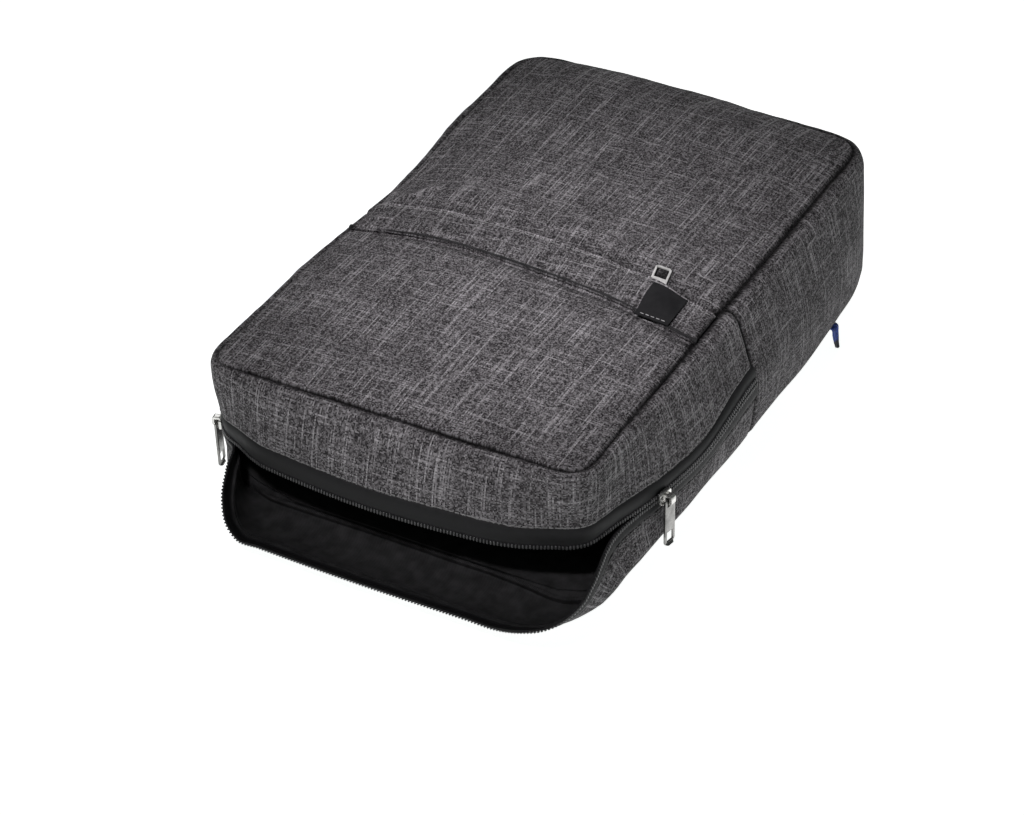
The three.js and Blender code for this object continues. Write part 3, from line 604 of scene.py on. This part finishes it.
def sew(sheet, nodeName, style, seed):
    sheet.sewSeams(style["seams"], style["pucker"] * mm, seed, style.get("slack"))
    if "turnIn" in style:
        sheet.turnIn(style["turnIn"] * mm)
    piece = sheet.piece(nodeName + "_cloth", ["grey", "lining"], style["thickness"] * mm, style.get("rim", 1))
    handOver(piece, "bag", "cloth", nodeName)
    sheets[nodeName] = sheet


for seed, (nodeName, style) in enumerate(frontSheets.items()):
    sheet = Sheet(cadGrid(nodeName, facingUp, (1, 0, 0)), sheetStep["front"])
    sheet.uv = sheet.points[..., :2].copy()
    sheet.folds(frontFolds)
    sheet.swell(style["swell"] * mm, frontSwellSize, seed)
    # tone: on the flap, partly dye and partly painted shade
    sheet.paintedShading = sheet.paintedShading + style["tone"]
    # the flap's free edge rolls up a little, and gets a painted highlight
    if "hem" in style:
        roll = np.exp(-((sheet.fromBorder(1) / hemReach) ** 2))
        sheet.push(style["hem"] * mm * roll)
        sheet.paintedShading = sheet.paintedShading - hemLight * roll
    # the pocket gets painted shadow beside the flap and under the tab
    if nodeName == "pocket_panel":
        sheet.shadeBeyond(cadGrid("pocket_flap", facingUp, (1, 0, 0))[-1], flapShade)
        sheet.shadeRound(tabWindow["place"], tabWindow["reach"], tabWindow["shade"])
    sew(sheet, nodeName, style, seed)
print("front sewn:", len(sheets))

# the walls round the bag, in front of the zip, behind it and round the base
# for the walls too, the last number of each seam is its painted shade
joinSeam = (1.4, 1.5, 1.0)
tapeSeam = (0.5, 1.2, 0.5)
wallSheets = {
    "front_gusset": {"seams": {0: joinSeam, 1: joinSeam, 2: edgeSeam, 3: tapeSeam},
                     "pucker": 0.6, "swell": 1.1, "thickness": 2.0},
    "back_gusset": {"seams": {0: joinSeam, 1: joinSeam, 2: tapeSeam},
                    "pucker": 0.4, "swell": 0.8, "thickness": 2.0, "turnIn": 3.5},
    "lower_gusset": {"seams": {0: joinSeam, 1: joinSeam, 2: edgeSeam},
                     "pucker": 0.6, "swell": 1.2, "thickness": 2.0, "turnIn": 3.5},
}
wallSwellSize = 45 * mm
wallSeed = 5
for seed, (nodeName, style) in enumerate(wallSheets.items(), wallSeed):
    sheet = Sheet(cadGrid(nodeName, facingOut, (0, 0, -1)), sheetStep["wall"])
    sheet.swell(style["swell"] * mm, wallSwellSize, seed)
    sew(sheet, nodeName, style, seed)
print("walls sewn:", len(sheets))


# copies of one modelled shape, set along a path and kept as one mesh
def strew(model, frames, name):
    base = np.array([vert.co[:] for vert in model.data.vertices])
    shapes = [list(face.vertices) for face in model.data.polygons]
    points = [base @ turn.T + place for turn, place in frames]
    starts = [copy * len(base) for copy in range(len(frames))]
    faces = [[corner + start for corner in shape] for start in starts for shape in shapes]
    mesh = bpy.data.meshes.new(name)
    mesh.from_pydata(np.concatenate(points).tolist(), [], faces)
    for material in model.data.materials:
        mesh.materials.append(material)
    piece = bpy.data.objects.new(name, mesh)
    bpy.context.collection.objects.link(piece)
    smooth(piece)
    return piece


def startBox(name, size, finishName, centre=(0, 0, 0)):
    bpy.ops.object.select_all(action="DESELECT")
    bpy.ops.mesh.primitive_cube_add(size=1)
    piece = bpy.context.object
    piece.name = name
    piece.data.name = name
    piece.data.materials.append(finishes[finishName])
    bpy.ops.object.mode_set(mode="EDIT")
    bpy.ops.transform.resize(value=size)
    bpy.ops.transform.translate(value=centre)
    bpy.ops.object.mode_set(mode="OBJECT")
    return piece


# the main zip: two tapes, and a row of coil turns on the edge of each
coilTurn = {"length": 2.7, "width": 1.15, "height": 1.1, "pitch": 2.1, "edge": 0.32, "lift": 0.45}
zipHalves = {"zip_half_front": {"tapeFirst": True}, "zip_half_back": {"tapeFirst": False}}
coilLift = 1.1 * mm
tapeThickness = 1.1 * mm
sewnUnder = {"reach": 3.0 * mm, "depth": 2.4 * mm}


def makeCoilTurn():
    size = [coilTurn[key] * mm for key in ("width", "length", "height")]
    tooth = startBox("coil_turn", size, "coil")
    bpy.ops.object.mode_set(mode="EDIT")
    bpy.ops.mesh.select_all(action="SELECT")
    bpy.ops.mesh.bevel(offset=coilTurn["edge"] * mm, segments=1, affect="EDGES")
    bpy.ops.object.mode_set(mode="OBJECT")
    return tooth


tooth = makeCoilTurn()
for nodeName, half in zipHalves.items():
    grid = cadGrid(nodeName, facingOut, (0, 0, -1))
    if not half["tapeFirst"]:
        grid = grid[:, ::-1]
    down = unitRows(np.gradient(grid[:, 1], axis=0))
    across = unitRows(grid[:, 1] - grid[:, 0])
    outward = unitRows(np.cross(across, down)) * (1 if half["tapeFirst"] else -1)
    lift = coilLift * outward
    flat = np.stack([grid[:, 0], grid[:, 1], grid[:, 2] - lift, grid[:, 3] - lift], axis=1)
    sewn = grid[:, 0] - sewnUnder["reach"] * across - sewnUnder["depth"] * outward
    strip = np.stack([sewn, flat[:, 0], flat[:, 1], flat[:, 3]], axis=1)
    sheet = Sheet(strip if half["tapeFirst"] else strip[:, ::-1], sheetStep["tape"])
    tape = sheet.piece(nodeName + "_tape", ["tape"], tapeThickness)
    handOver(tape, "bag", "zip_tape", nodeName)
    run = chordRun(flat, 0)
    count = round(run[-1] / (coilTurn["pitch"] * mm))
    turns = run[-1] * (np.arange(count) + 0.5) / count
    fine = curveThrough(flat, run, turns)
    middle = (fine[:, 2] + fine[:, 3]) / 2
    x = unitRows(np.gradient(middle, axis=0))
    y = fine[:, 3] - fine[:, 2]
    y = unitRows(y - (y * x).sum(1, keepdims=True) * x)
    z = unitRows(np.cross(x, y))
    side = curveThrough(outward[:, None], run, turns)[:, 0]
    sense = np.sign((z * side).sum(1, keepdims=True))
    x, z = x * sense, z * sense
    place = middle + z * coilTurn["lift"] * coilTurn["height"] * mm
    frames = [(np.stack(axes, axis=1), point) for axes, point in zip(zip(x, y, z), place)]
    coil = strew(tooth, frames, nodeName + "_coil")
    handOver(coil, "bag", "zip_tape")
bpy.data.objects.remove(tooth)
print("zip made: two tapes and their coils")


# plates with windows: cut across at the window edges, then bridged through
def openWindow(piece, low, high, axis):
    bpy.ops.object.mode_set(mode="EDIT")
    for side in range(3):
        if side == axis:
            continue
        normal = [float(side == each) for each in range(3)]
        for edge in (low[side], high[side]):
            bpy.ops.mesh.select_all(action="SELECT")
            bpy.ops.mesh.bisect(plane_co=[edge * value for value in normal], plane_no=normal)
    bpy.ops.mesh.select_all(action="DESELECT")
    bpy.ops.object.mode_set(mode="OBJECT")
    for face in piece.data.polygons:
        inside = all(low[side] < face.center[side] < high[side] for side in range(3) if side != axis)
        face.select = inside and abs(face.normal[axis]) > 0.9
    bpy.ops.object.mode_set(mode="EDIT")
    bpy.ops.mesh.select_mode(type="FACE")
    bpy.ops.mesh.bridge_edge_loops()
    bpy.ops.object.mode_set(mode="OBJECT")


def roundEdges(piece, chosen, offset, segments):
    bpy.ops.object.mode_set(mode="EDIT")
    bpy.ops.mesh.select_mode(type="EDGE")
    bpy.ops.mesh.select_all(action="DESELECT")
    bpy.ops.object.mode_set(mode="OBJECT")
    for edge in piece.data.edges:
        ends = [piece.data.vertices[corner].co for corner in edge.vertices]
        edge.select = chosen(ends[0], ends[1])
    bpy.ops.object.mode_set(mode="EDIT")
    bpy.ops.mesh.bevel(offset=offset, segments=segments, affect="EDGES")
    bpy.ops.object.mode_set(mode="OBJECT")


sharpAngle = math.radians(40)


def softenEdges(piece, width, segments=2):
    addModifier(piece, "BEVEL", width=width, segments=segments, limit_method="ANGLE",
                angle_limit=sharpAngle)
    smooth(piece)


def near(value, target):
    return abs(value - target) < 0.01 * mm


def uprightAt(x, y):
    return lambda *ends: all(near(abs(end.x), x) and near(end.y, y) for end in ends)


# sliders and pull tabs, in millimetres from the pin: x along the zip, y up, z out
puller = {
    "halfWidth": 4.8, "top": 0.7, "bottom": -33.3, "thickness": 1.4, "edge": 0.25,
    "topCorner": 1.6, "bottomCorner": 2.4,
    "eye": ((-2.8, -5.0), (2.8, -0.7)), "window": ((-3.0, -31.3), (3.0, -23.8)),
}
slider = {
    "plate": (11.0, 8.5, 1.8), "plateCentre": (0, 0, -3.6), "plateCorner": 2.2, "edge": 0.35,
    "arch": (4.4, 6.2, 5.8), "archCentre": (0, 0, 0.2), "archCorner": 1.8, "crownAbove": 2.0, "hole": 1.5,
}


def scaled(values):
    return [value * mm for value in values]


def makePuller(name):
    style = puller
    height = style["top"] - style["bottom"]
    size = scaled((2 * style["halfWidth"], height, style["thickness"]))
    piece = startBox(name, size, "nickel", scaled((0, (style["top"] + style["bottom"]) / 2, 0)))
    halfWidth = style["halfWidth"] * mm
    roundEdges(piece, uprightAt(halfWidth, style["bottom"] * mm), style["bottomCorner"] * mm, 5)
    roundEdges(piece, uprightAt(halfWidth, style["top"] * mm), style["topCorner"] * mm, 4)
    for low, high in (style["eye"], style["window"]):
        openWindow(piece, scaled(low), scaled(high), 2)
    softenEdges(piece, style["edge"] * mm)
    return piece


def makeSlider(name):
    style = slider
    plate = startBox(name, scaled(style["plate"]), "crown", scaled(style["plateCentre"]))
    halfLength, halfWidth = (0.5 * value * mm for value in style["plate"][:2])
    for end in (-halfWidth, halfWidth):
        roundEdges(plate, uprightAt(halfLength, end), style["plateCorner"] * mm, 4)
    arch = startBox(name + "_arch", scaled(style["arch"]), "crown", scaled(style["archCentre"]))
    hole = style["hole"] * mm
    openWindow(arch, (0, -hole, -hole), (0, hole, hole), 0)
    outer = 0.5 * style["arch"][1] * mm

    def onCrown(*ends):
        return all(near(abs(end.y), outer) and end.z > style["crownAbove"] * mm for end in ends)

    roundEdges(arch, onCrown, style["archCorner"] * mm, 4)
    pick(plate)
    arch.select_set(True)
    bpy.ops.object.join()
    softenEdges(plate, style["edge"] * mm)
    return plate


def pinFrame(joint):
    along = Vector(joint["axis"]).normalized()
    up = Vector((0, 0, 1))
    turn = Matrix((-along, up, up.cross(along))).transposed().to_4x4()
    return Matrix.Translation(Vector(joint["pos_m"])) @ turn


joints = {joint["name"]: joint for joint in frame["joints"]}
for side in ("right", "left"):
    place = pinFrame(joints[f"puller_{side}_swing"])
    tab = makePuller(f"pull_tab_{side}")
    tab.data.transform(place)
    handOver(tab, f"puller_{side}", "nickel", f"puller_{side}")
    runner = makeSlider(f"zip_slider_{side}")
    runner.data.transform(place)
    handOver(runner, "bag", "nickel", f"slider_{side}")
print("sliders and pull tabs made")


# the pocket's own pull tab, which lies on the pocket with its far end open
pocketTab = {"window": 0.36, "margin": 1.3 * mm, "corner": 1.4 * mm, "edge": 0.22 * mm}


# a flat plate's own directions: along its longest sharp edge, out of the face beside it, and across both
def plateFrame(nodeName):
    mesh = bmesh.new()
    mesh.from_mesh(frame["nodes"][nodeName].data)
    bmesh.ops.remove_doubles(mesh, verts=mesh.verts, dist=weldDistance)
    mesh.normal_update()
    sharp = [edge for edge in mesh.edges if edge.calc_face_angle(0) > 1]
    longest = max(sharp, key=lambda edge: edge.calc_length())
    along = (longest.verts[1].co - longest.verts[0].co).normalized()
    along = along if along.y > 0 else -along
    out = max((face.normal.copy() for face in longest.link_faces), key=lambda normal: abs(normal.z))
    out = out if out.z > 0 else -out
    turn = np.array([along.cross(out)[:], along[:], out[:]]).T
    local = np.array([vert.co[:] for vert in mesh.verts]) @ turn
    mesh.free()
    low, high = local.min(0), local.max(0)
    place = Matrix.Translation(Vector(turn @ ((low + high) / 2))) @ Matrix(turn.tolist()).to_4x4()
    return place, high - low


def makePocketTab():
    style = pocketTab
    place, size = plateFrame("pocket_puller")
    piece = startBox("pocket_tab", size.tolist(), "tab")
    halfWidth, halfLength = size[0] / 2, size[1] / 2
    for end in (-halfLength, halfLength):
        roundEdges(piece, uprightAt(halfWidth, end), style["corner"], 4)
    inner = halfWidth - style["margin"]
    far = halfLength - style["margin"]
    openWindow(piece, (-inner, far - style["window"] * size[1], 0), (inner, far, 0), 2)
    softenEdges(piece, style["edge"])
    piece.data.transform(place)
    handOver(piece, "bag", "nickel", "pocket_puller")


makePocketTab()
pocketSlider = frame["nodes"]["pocket_slider"]
pocketSlider.data.materials.clear()
pocketSlider.data.materials.append(finishes["nickel"])


def readAlong(values, run, places):
    return np.stack([np.interp(places, run, values[:, each]) for each in range(3)], axis=1)


# rows of stitches beside a border of a sheet
def sewLine(sheet, border, inset, stitch, pitch, margin, name):
    axis = border // 2
    at = sheet.at[axis]
    reach = inset if border % 2 == 0 else at[-1] - inset
    row = np.argmin(np.abs(at - reach))
    path = sheet.points[row] if axis == 0 else sheet.points[:, row]
    up = sheet.normals()[row] if axis == 0 else sheet.normals()[:, row]
    run = np.concatenate([[0.0], np.cumsum(np.linalg.norm(np.diff(path, axis=0), axis=1))])
    count = int((run[-1] - 2 * margin) / pitch)
    places = run[-1] / 2 + (np.arange(count) - (count - 1) / 2) * pitch
    middle = readAlong(path, run, places)
    along = unitRows(readAlong(np.gradient(path, run, axis=0), run, places))
    out = unitRows(readAlong(up, run, places))
    aside = unitRows(np.cross(out, along))
    frames = [(np.stack(axes, axis=1), point) for axes, point in zip(zip(along, aside, out), middle)]
    return strew(stitch, frames, name)


stitchEdge = 0.18 * mm


def makeStitch(name, size, finishName):
    stitch = startBox(name, scaled(size), finishName)
    softenEdges(stitch, stitchEdge, 1)
    return stitch


# the bare label, sewn along its near edge
label = {
    "thickness": 0.8 * mm, "stitch": (2.4, 0.55, 0.5), "pitch": 3.6 * mm,
    "inset": 2.2 * mm, "margin": 0.8 * mm,
}
labelSheet = Sheet(cadGrid("pocket_label", facingUp, (1, 0, 0)), sheetStep["label"])
labelPiece = labelSheet.piece("label_cloth", ["label"], label["thickness"])
handOver(labelPiece, "bag", "black_cloth", "pocket_label")
whiteStitch = makeStitch("white_stitch", label["stitch"], "thread")
labelLine = sewLine(labelSheet, 0, label["inset"], whiteStitch, label["pitch"], label["margin"],
                    "label_stitches")
handOver(labelLine, "bag", "black_cloth")
bpy.data.objects.remove(whiteStitch)

# the lines of stitches beside the zip tapes and along the flap's free edge
tapeStitch = {"size": (2.8, 0.6, 0.5), "pitch": 3.8 * mm, "inset": 2.0 * mm, "margin": 2 * mm}
greyStitch = makeStitch("grey_stitch", tapeStitch["size"], "greyThread")
for nodeName, border in (("front_gusset", 3), ("back_gusset", 2), ("pocket_flap", 1)):
    line = sewLine(sheets[nodeName], border, tapeStitch["inset"], greyStitch, tapeStitch["pitch"],
                   tapeStitch["margin"], nodeName + "_stitches")
    handOver(line, "bag", "cloth")
bpy.data.objects.remove(greyStitch)
print("pocket tab, label and stitches made")


# flat pieces with a rounded outline: rows of points from edge to edge
def outlineGrid(nodeName, height, step):
    mesh = frame["nodes"][nodeName].data
    points = np.array([vert.co[:] for vert in mesh.vertices])
    low, high = points.min(0), points.max(0)
    rim = points[np.abs(points[:, 2] - high[2]) < 0.05 * mm]
    middle = (low[0] + high[0]) / 2
    rows = np.linspace(low[1], high[1], 2 + int((high[1] - low[1]) / step))
    shares = np.linspace(-1, 1, 2 + int((high[0] - low[0]) / step))
    grid = []
    for y in rows:
        ends = []
        for side in (-1, 1):
            edge = rim[(rim[:, 0] - middle) * side >= 0]
            edge = edge[np.argsort(edge[:, 1])]
            ends.append(np.interp(y, edge[:, 1], edge[:, 0]))
        xs = ends[0] + (ends[1] - ends[0]) * (shares + 1) / 2
        grid.append(np.stack([xs, np.full_like(xs, y), np.full_like(xs, height)], axis=1))
    return np.array(grid)


# the lining that shows through the mouth
lining = {"gridStep": 8 * mm, "swell": 0.3 * mm, "swellSize": 40 * mm, "seed": 31, "thickness": 1.0 * mm}
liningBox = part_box("back_lining")
liningSheet = Sheet(outlineGrid("back_lining", liningBox[1][2], lining["gridStep"]), sheetStep["lining"])
liningSheet.swell(lining["swell"], lining["swellSize"], lining["seed"])
liningPiece = liningSheet.piece("lining_cloth", ["lining"], lining["thickness"])
handOver(liningPiece, "bag", "black_cloth", "back_lining")

# padded pieces: the solid is remeshed finely and smoothed
backStyle = {"voxel": 2.5 * mm, "smoothing": 3, "fill": 0.7, "liningAbove": -0.2}
strapStyle = {"voxel": 2.0 * mm, "smoothing": 5, "fill": 0.8}


def padFrom(nodeName, name, finishName, voxel, smoothing):
    source = frame["nodes"][nodeName]
    piece = bpy.data.objects.new(name, source.data.copy())
    piece.data.name = name
    bpy.context.collection.objects.link(piece)
    pick(piece)
    bpy.ops.object.mode_set(mode="EDIT")
    bpy.ops.mesh.select_all(action="SELECT")
    bpy.ops.mesh.remove_doubles(threshold=weldDistance)
    bpy.ops.object.mode_set(mode="OBJECT")
    addModifier(piece, "REMESH", mode="VOXEL", voxel_size=voxel)
    addModifier(piece, "SMOOTH", factor=0.5, iterations=smoothing)
    piece.data.materials.clear()
    piece.data.materials.append(finishes[finishName])
    layer = piece.data.uv_layers.new(name="cloth")
    places = np.array([vert.co[:2] for vert in piece.data.vertices])
    corners = np.array([loop.vertex_index for loop in piece.data.loops])
    layer.data.foreach_set("uv", places[corners].astype("f").reshape(-1))
    smooth(piece)
    return piece


backPad = padFrom("back_panel", "back_pad", "grey", backStyle["voxel"], backStyle["smoothing"])
backPad.data.materials.append(finishes["lining"])
for face in backPad.data.polygons:
    face.material_index = int(face.normal.z > backStyle["liningAbove"])
handOver(backPad, "bag", "cloth", "back_panel")
for side in ("right", "left"):
    nodeName = f"shoulder_strap_{side}"
    strap = padFrom(nodeName, f"strap_pad_{side}", "pad", strapStyle["voxel"], strapStyle["smoothing"])
    handOver(strap, "bag", "strap_cloth", nodeName)

# webbing from each strap's end to the base corner, and the ladder buckle on it
buckle = {"slot": (28.0, 4.0), "bar": 4.0, "corner": 5.0, "edge": 0.8}
webbingThickness = 1.6 * mm


def railGrid(nodeName):
    points = np.array([vert.co[:] for vert in frame["nodes"][nodeName].data.vertices])
    top = np.unique(np.round(points[points[:, 2] > points[:, 2].mean()], 6), axis=0)
    top = top[np.argsort(top[:, 1])]
    middle = np.polyval(np.polyfit(top[:, 1], top[:, 0], 2), top[:, 1])
    left, right = top[top[:, 0] < middle], top[top[:, 0] >= middle]
    return np.stack([left, right], axis=1)


def makeBuckle(name, nodeName):
    low, high = (np.array(side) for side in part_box(nodeName))
    piece = startBox(name, (high - low).tolist(), "buckle")
    half = (high - low) / 2
    for end in (-half[1], half[1]):
        roundEdges(piece, uprightAt(half[0], end), buckle["corner"] * mm, 4)
    width, length = scaled(buckle["slot"])
    bar = buckle["bar"] * mm
    for middle in (-(bar + length) / 2, (bar + length) / 2):
        openWindow(piece, (-width / 2, middle - length / 2, 0), (width / 2, middle + length / 2, 0), 2)
    softenEdges(piece, buckle["edge"] * mm)
    piece.data.transform(Matrix.Translation(Vector((low + high) / 2)))
    return piece


for side in ("right", "left"):
    sheet = Sheet(railGrid(f"strap_webbing_{side}"), sheetStep["webbing"])
    webbing = sheet.piece(f"webbing_{side}", ["webbing"], webbingThickness)
    handOver(webbing, "bag", "webbing", f"strap_webbing_{side}")
    lock = makeBuckle(f"ladder_buckle_{side}", f"strap_buckle_{side}")
    handOver(lock, "bag", "buckle_plastic", f"strap_buckle_{side}")

# the blue tag in the back seam, with its root sewn in under the wall
tag = {"root": (-5.0, 0, 1.5), "width": 10 * mm, "thickness": 1.2 * mm}
tagRoot = np.array(tag["root"]) * mm
tagGrid = cadGrid("side_tag", facingOut, (0, 0, -1))
tagSheet = Sheet(np.concatenate([tagGrid[:, :1] + tagRoot, tagGrid], axis=1), sheetStep["tag"])
tagPiece = tagSheet.piece("tag_ribbon", ["ribbon"], tag["thickness"])
handOver(tagPiece, "bag", "blue_cloth", "side_tag")
print("lining, back, straps, webbing, buckles and tag made")

# the white table, the light and the camera
table = {
    "reach": 4.0, "drop": 0.3 * mm, "colour": (0.8, 0.8, 0.8, 1), "roughness": 0.9,
    "glow": (0.98, 1, 0.99, 1), "strength": 0.93,
}
floor = bpy.data.meshes.new("floor")
sides = ((-1, -1), (1, -1), (1, 1), (-1, 1))
corners = [(x * table["reach"], y * table["reach"], -table["drop"]) for x, y in sides]
floor.from_pydata(corners, [], [(0, 1, 2, 3)])
whiteTable = Finish("whiteTable")
whiteTable.set(Base_Color=table["colour"], Roughness=table["roughness"])
whiteTable.set(Emission_Color=table["glow"], Emission_Strength=table["strength"])
floor.materials.append(whiteTable.material)
floorPiece = bpy.data.objects.new("floor", floor)
bpy.context.collection.objects.link(floorPiece)

studio = {"colour": (0.94, 1.0, 0.96, 1), "strength": 0.13}
scene = bpy.context.scene
scene.view_settings.view_transform = "Standard"
world = bpy.data.worlds.new("studio")
world.use_nodes = True
background = world.node_tree.nodes["Background"]
background.inputs["Color"].default_value = studio["colour"]
background.inputs["Strength"].default_value = studio["strength"]
scene.world = world


def placeLamp(light, place, aim):
    lamp = bpy.data.objects.new(light.name, light)
    lamp.location = place
    lamp.rotation_euler = (Vector(aim) - lamp.location).to_track_quat("-Z", "Y").to_euler()
    bpy.context.collection.objects.link(lamp)


keyLight = {
    "place": (0.02, -0.72, 1.12), "aim": (0.02, -0.03, 0.11), "spread": 25, "power": 80,
    "colour": (1.0, 0.965, 0.995), "softness": 0.12,
}
light = bpy.data.lights.new("key", "SPOT")
light.energy = keyLight["power"]
light.color = keyLight["colour"]
light.spot_size = math.radians(keyLight["spread"])
light.spot_blend = 1.0
light.shadow_soft_size = keyLight["softness"]
placeLamp(light, keyLight["place"], keyLight["aim"])

# a pale screen behind the bag, which the upward metal mirrors
screen = {"place": (-1.03, 1.78, 1.5), "size": 1.2, "power": 9}
light = bpy.data.lights.new("screen", "AREA")
light.size = screen["size"]
light.energy = screen["power"]
placeLamp(light, screen["place"], (0, 0, 0))

view = {
    "turn": 30.38, "tilt": 35.63, "roll": -1.86, "distance": 1.712,
    "sideways": -28.0 * mm, "upward": -15.4 * mm, "lens": 91.41, "centre": (-1.444 * mm, 14.365 * mm, 0.0),
}


def aimCamera():
    turn, tilt, roll = (math.radians(view[key]) for key in ("turn", "tilt", "roll"))
    back = Vector((math.sin(turn) * math.cos(tilt), -math.cos(turn) * math.cos(tilt), math.sin(tilt)))
    right = Vector((math.cos(turn), math.sin(turn), 0))
    up = back.cross(right)
    right, up = math.cos(roll) * right + math.sin(roll) * up, math.cos(roll) * up - math.sin(roll) * right
    eye = Vector(view["centre"]) + back * view["distance"] + right * view["sideways"] + up * view["upward"]
    lens = bpy.data.cameras.new("photoView")
    lens.lens = view["lens"]
    lens.sensor_width = 36
    camera = bpy.data.objects.new("photoView", lens)
    camera.matrix_world = Matrix.Translation(eye) @ Matrix((right, up, back)).transposed().to_4x4()
    bpy.context.collection.objects.link(camera)
    scene.camera = camera


aimCamera()
print("scene ready")
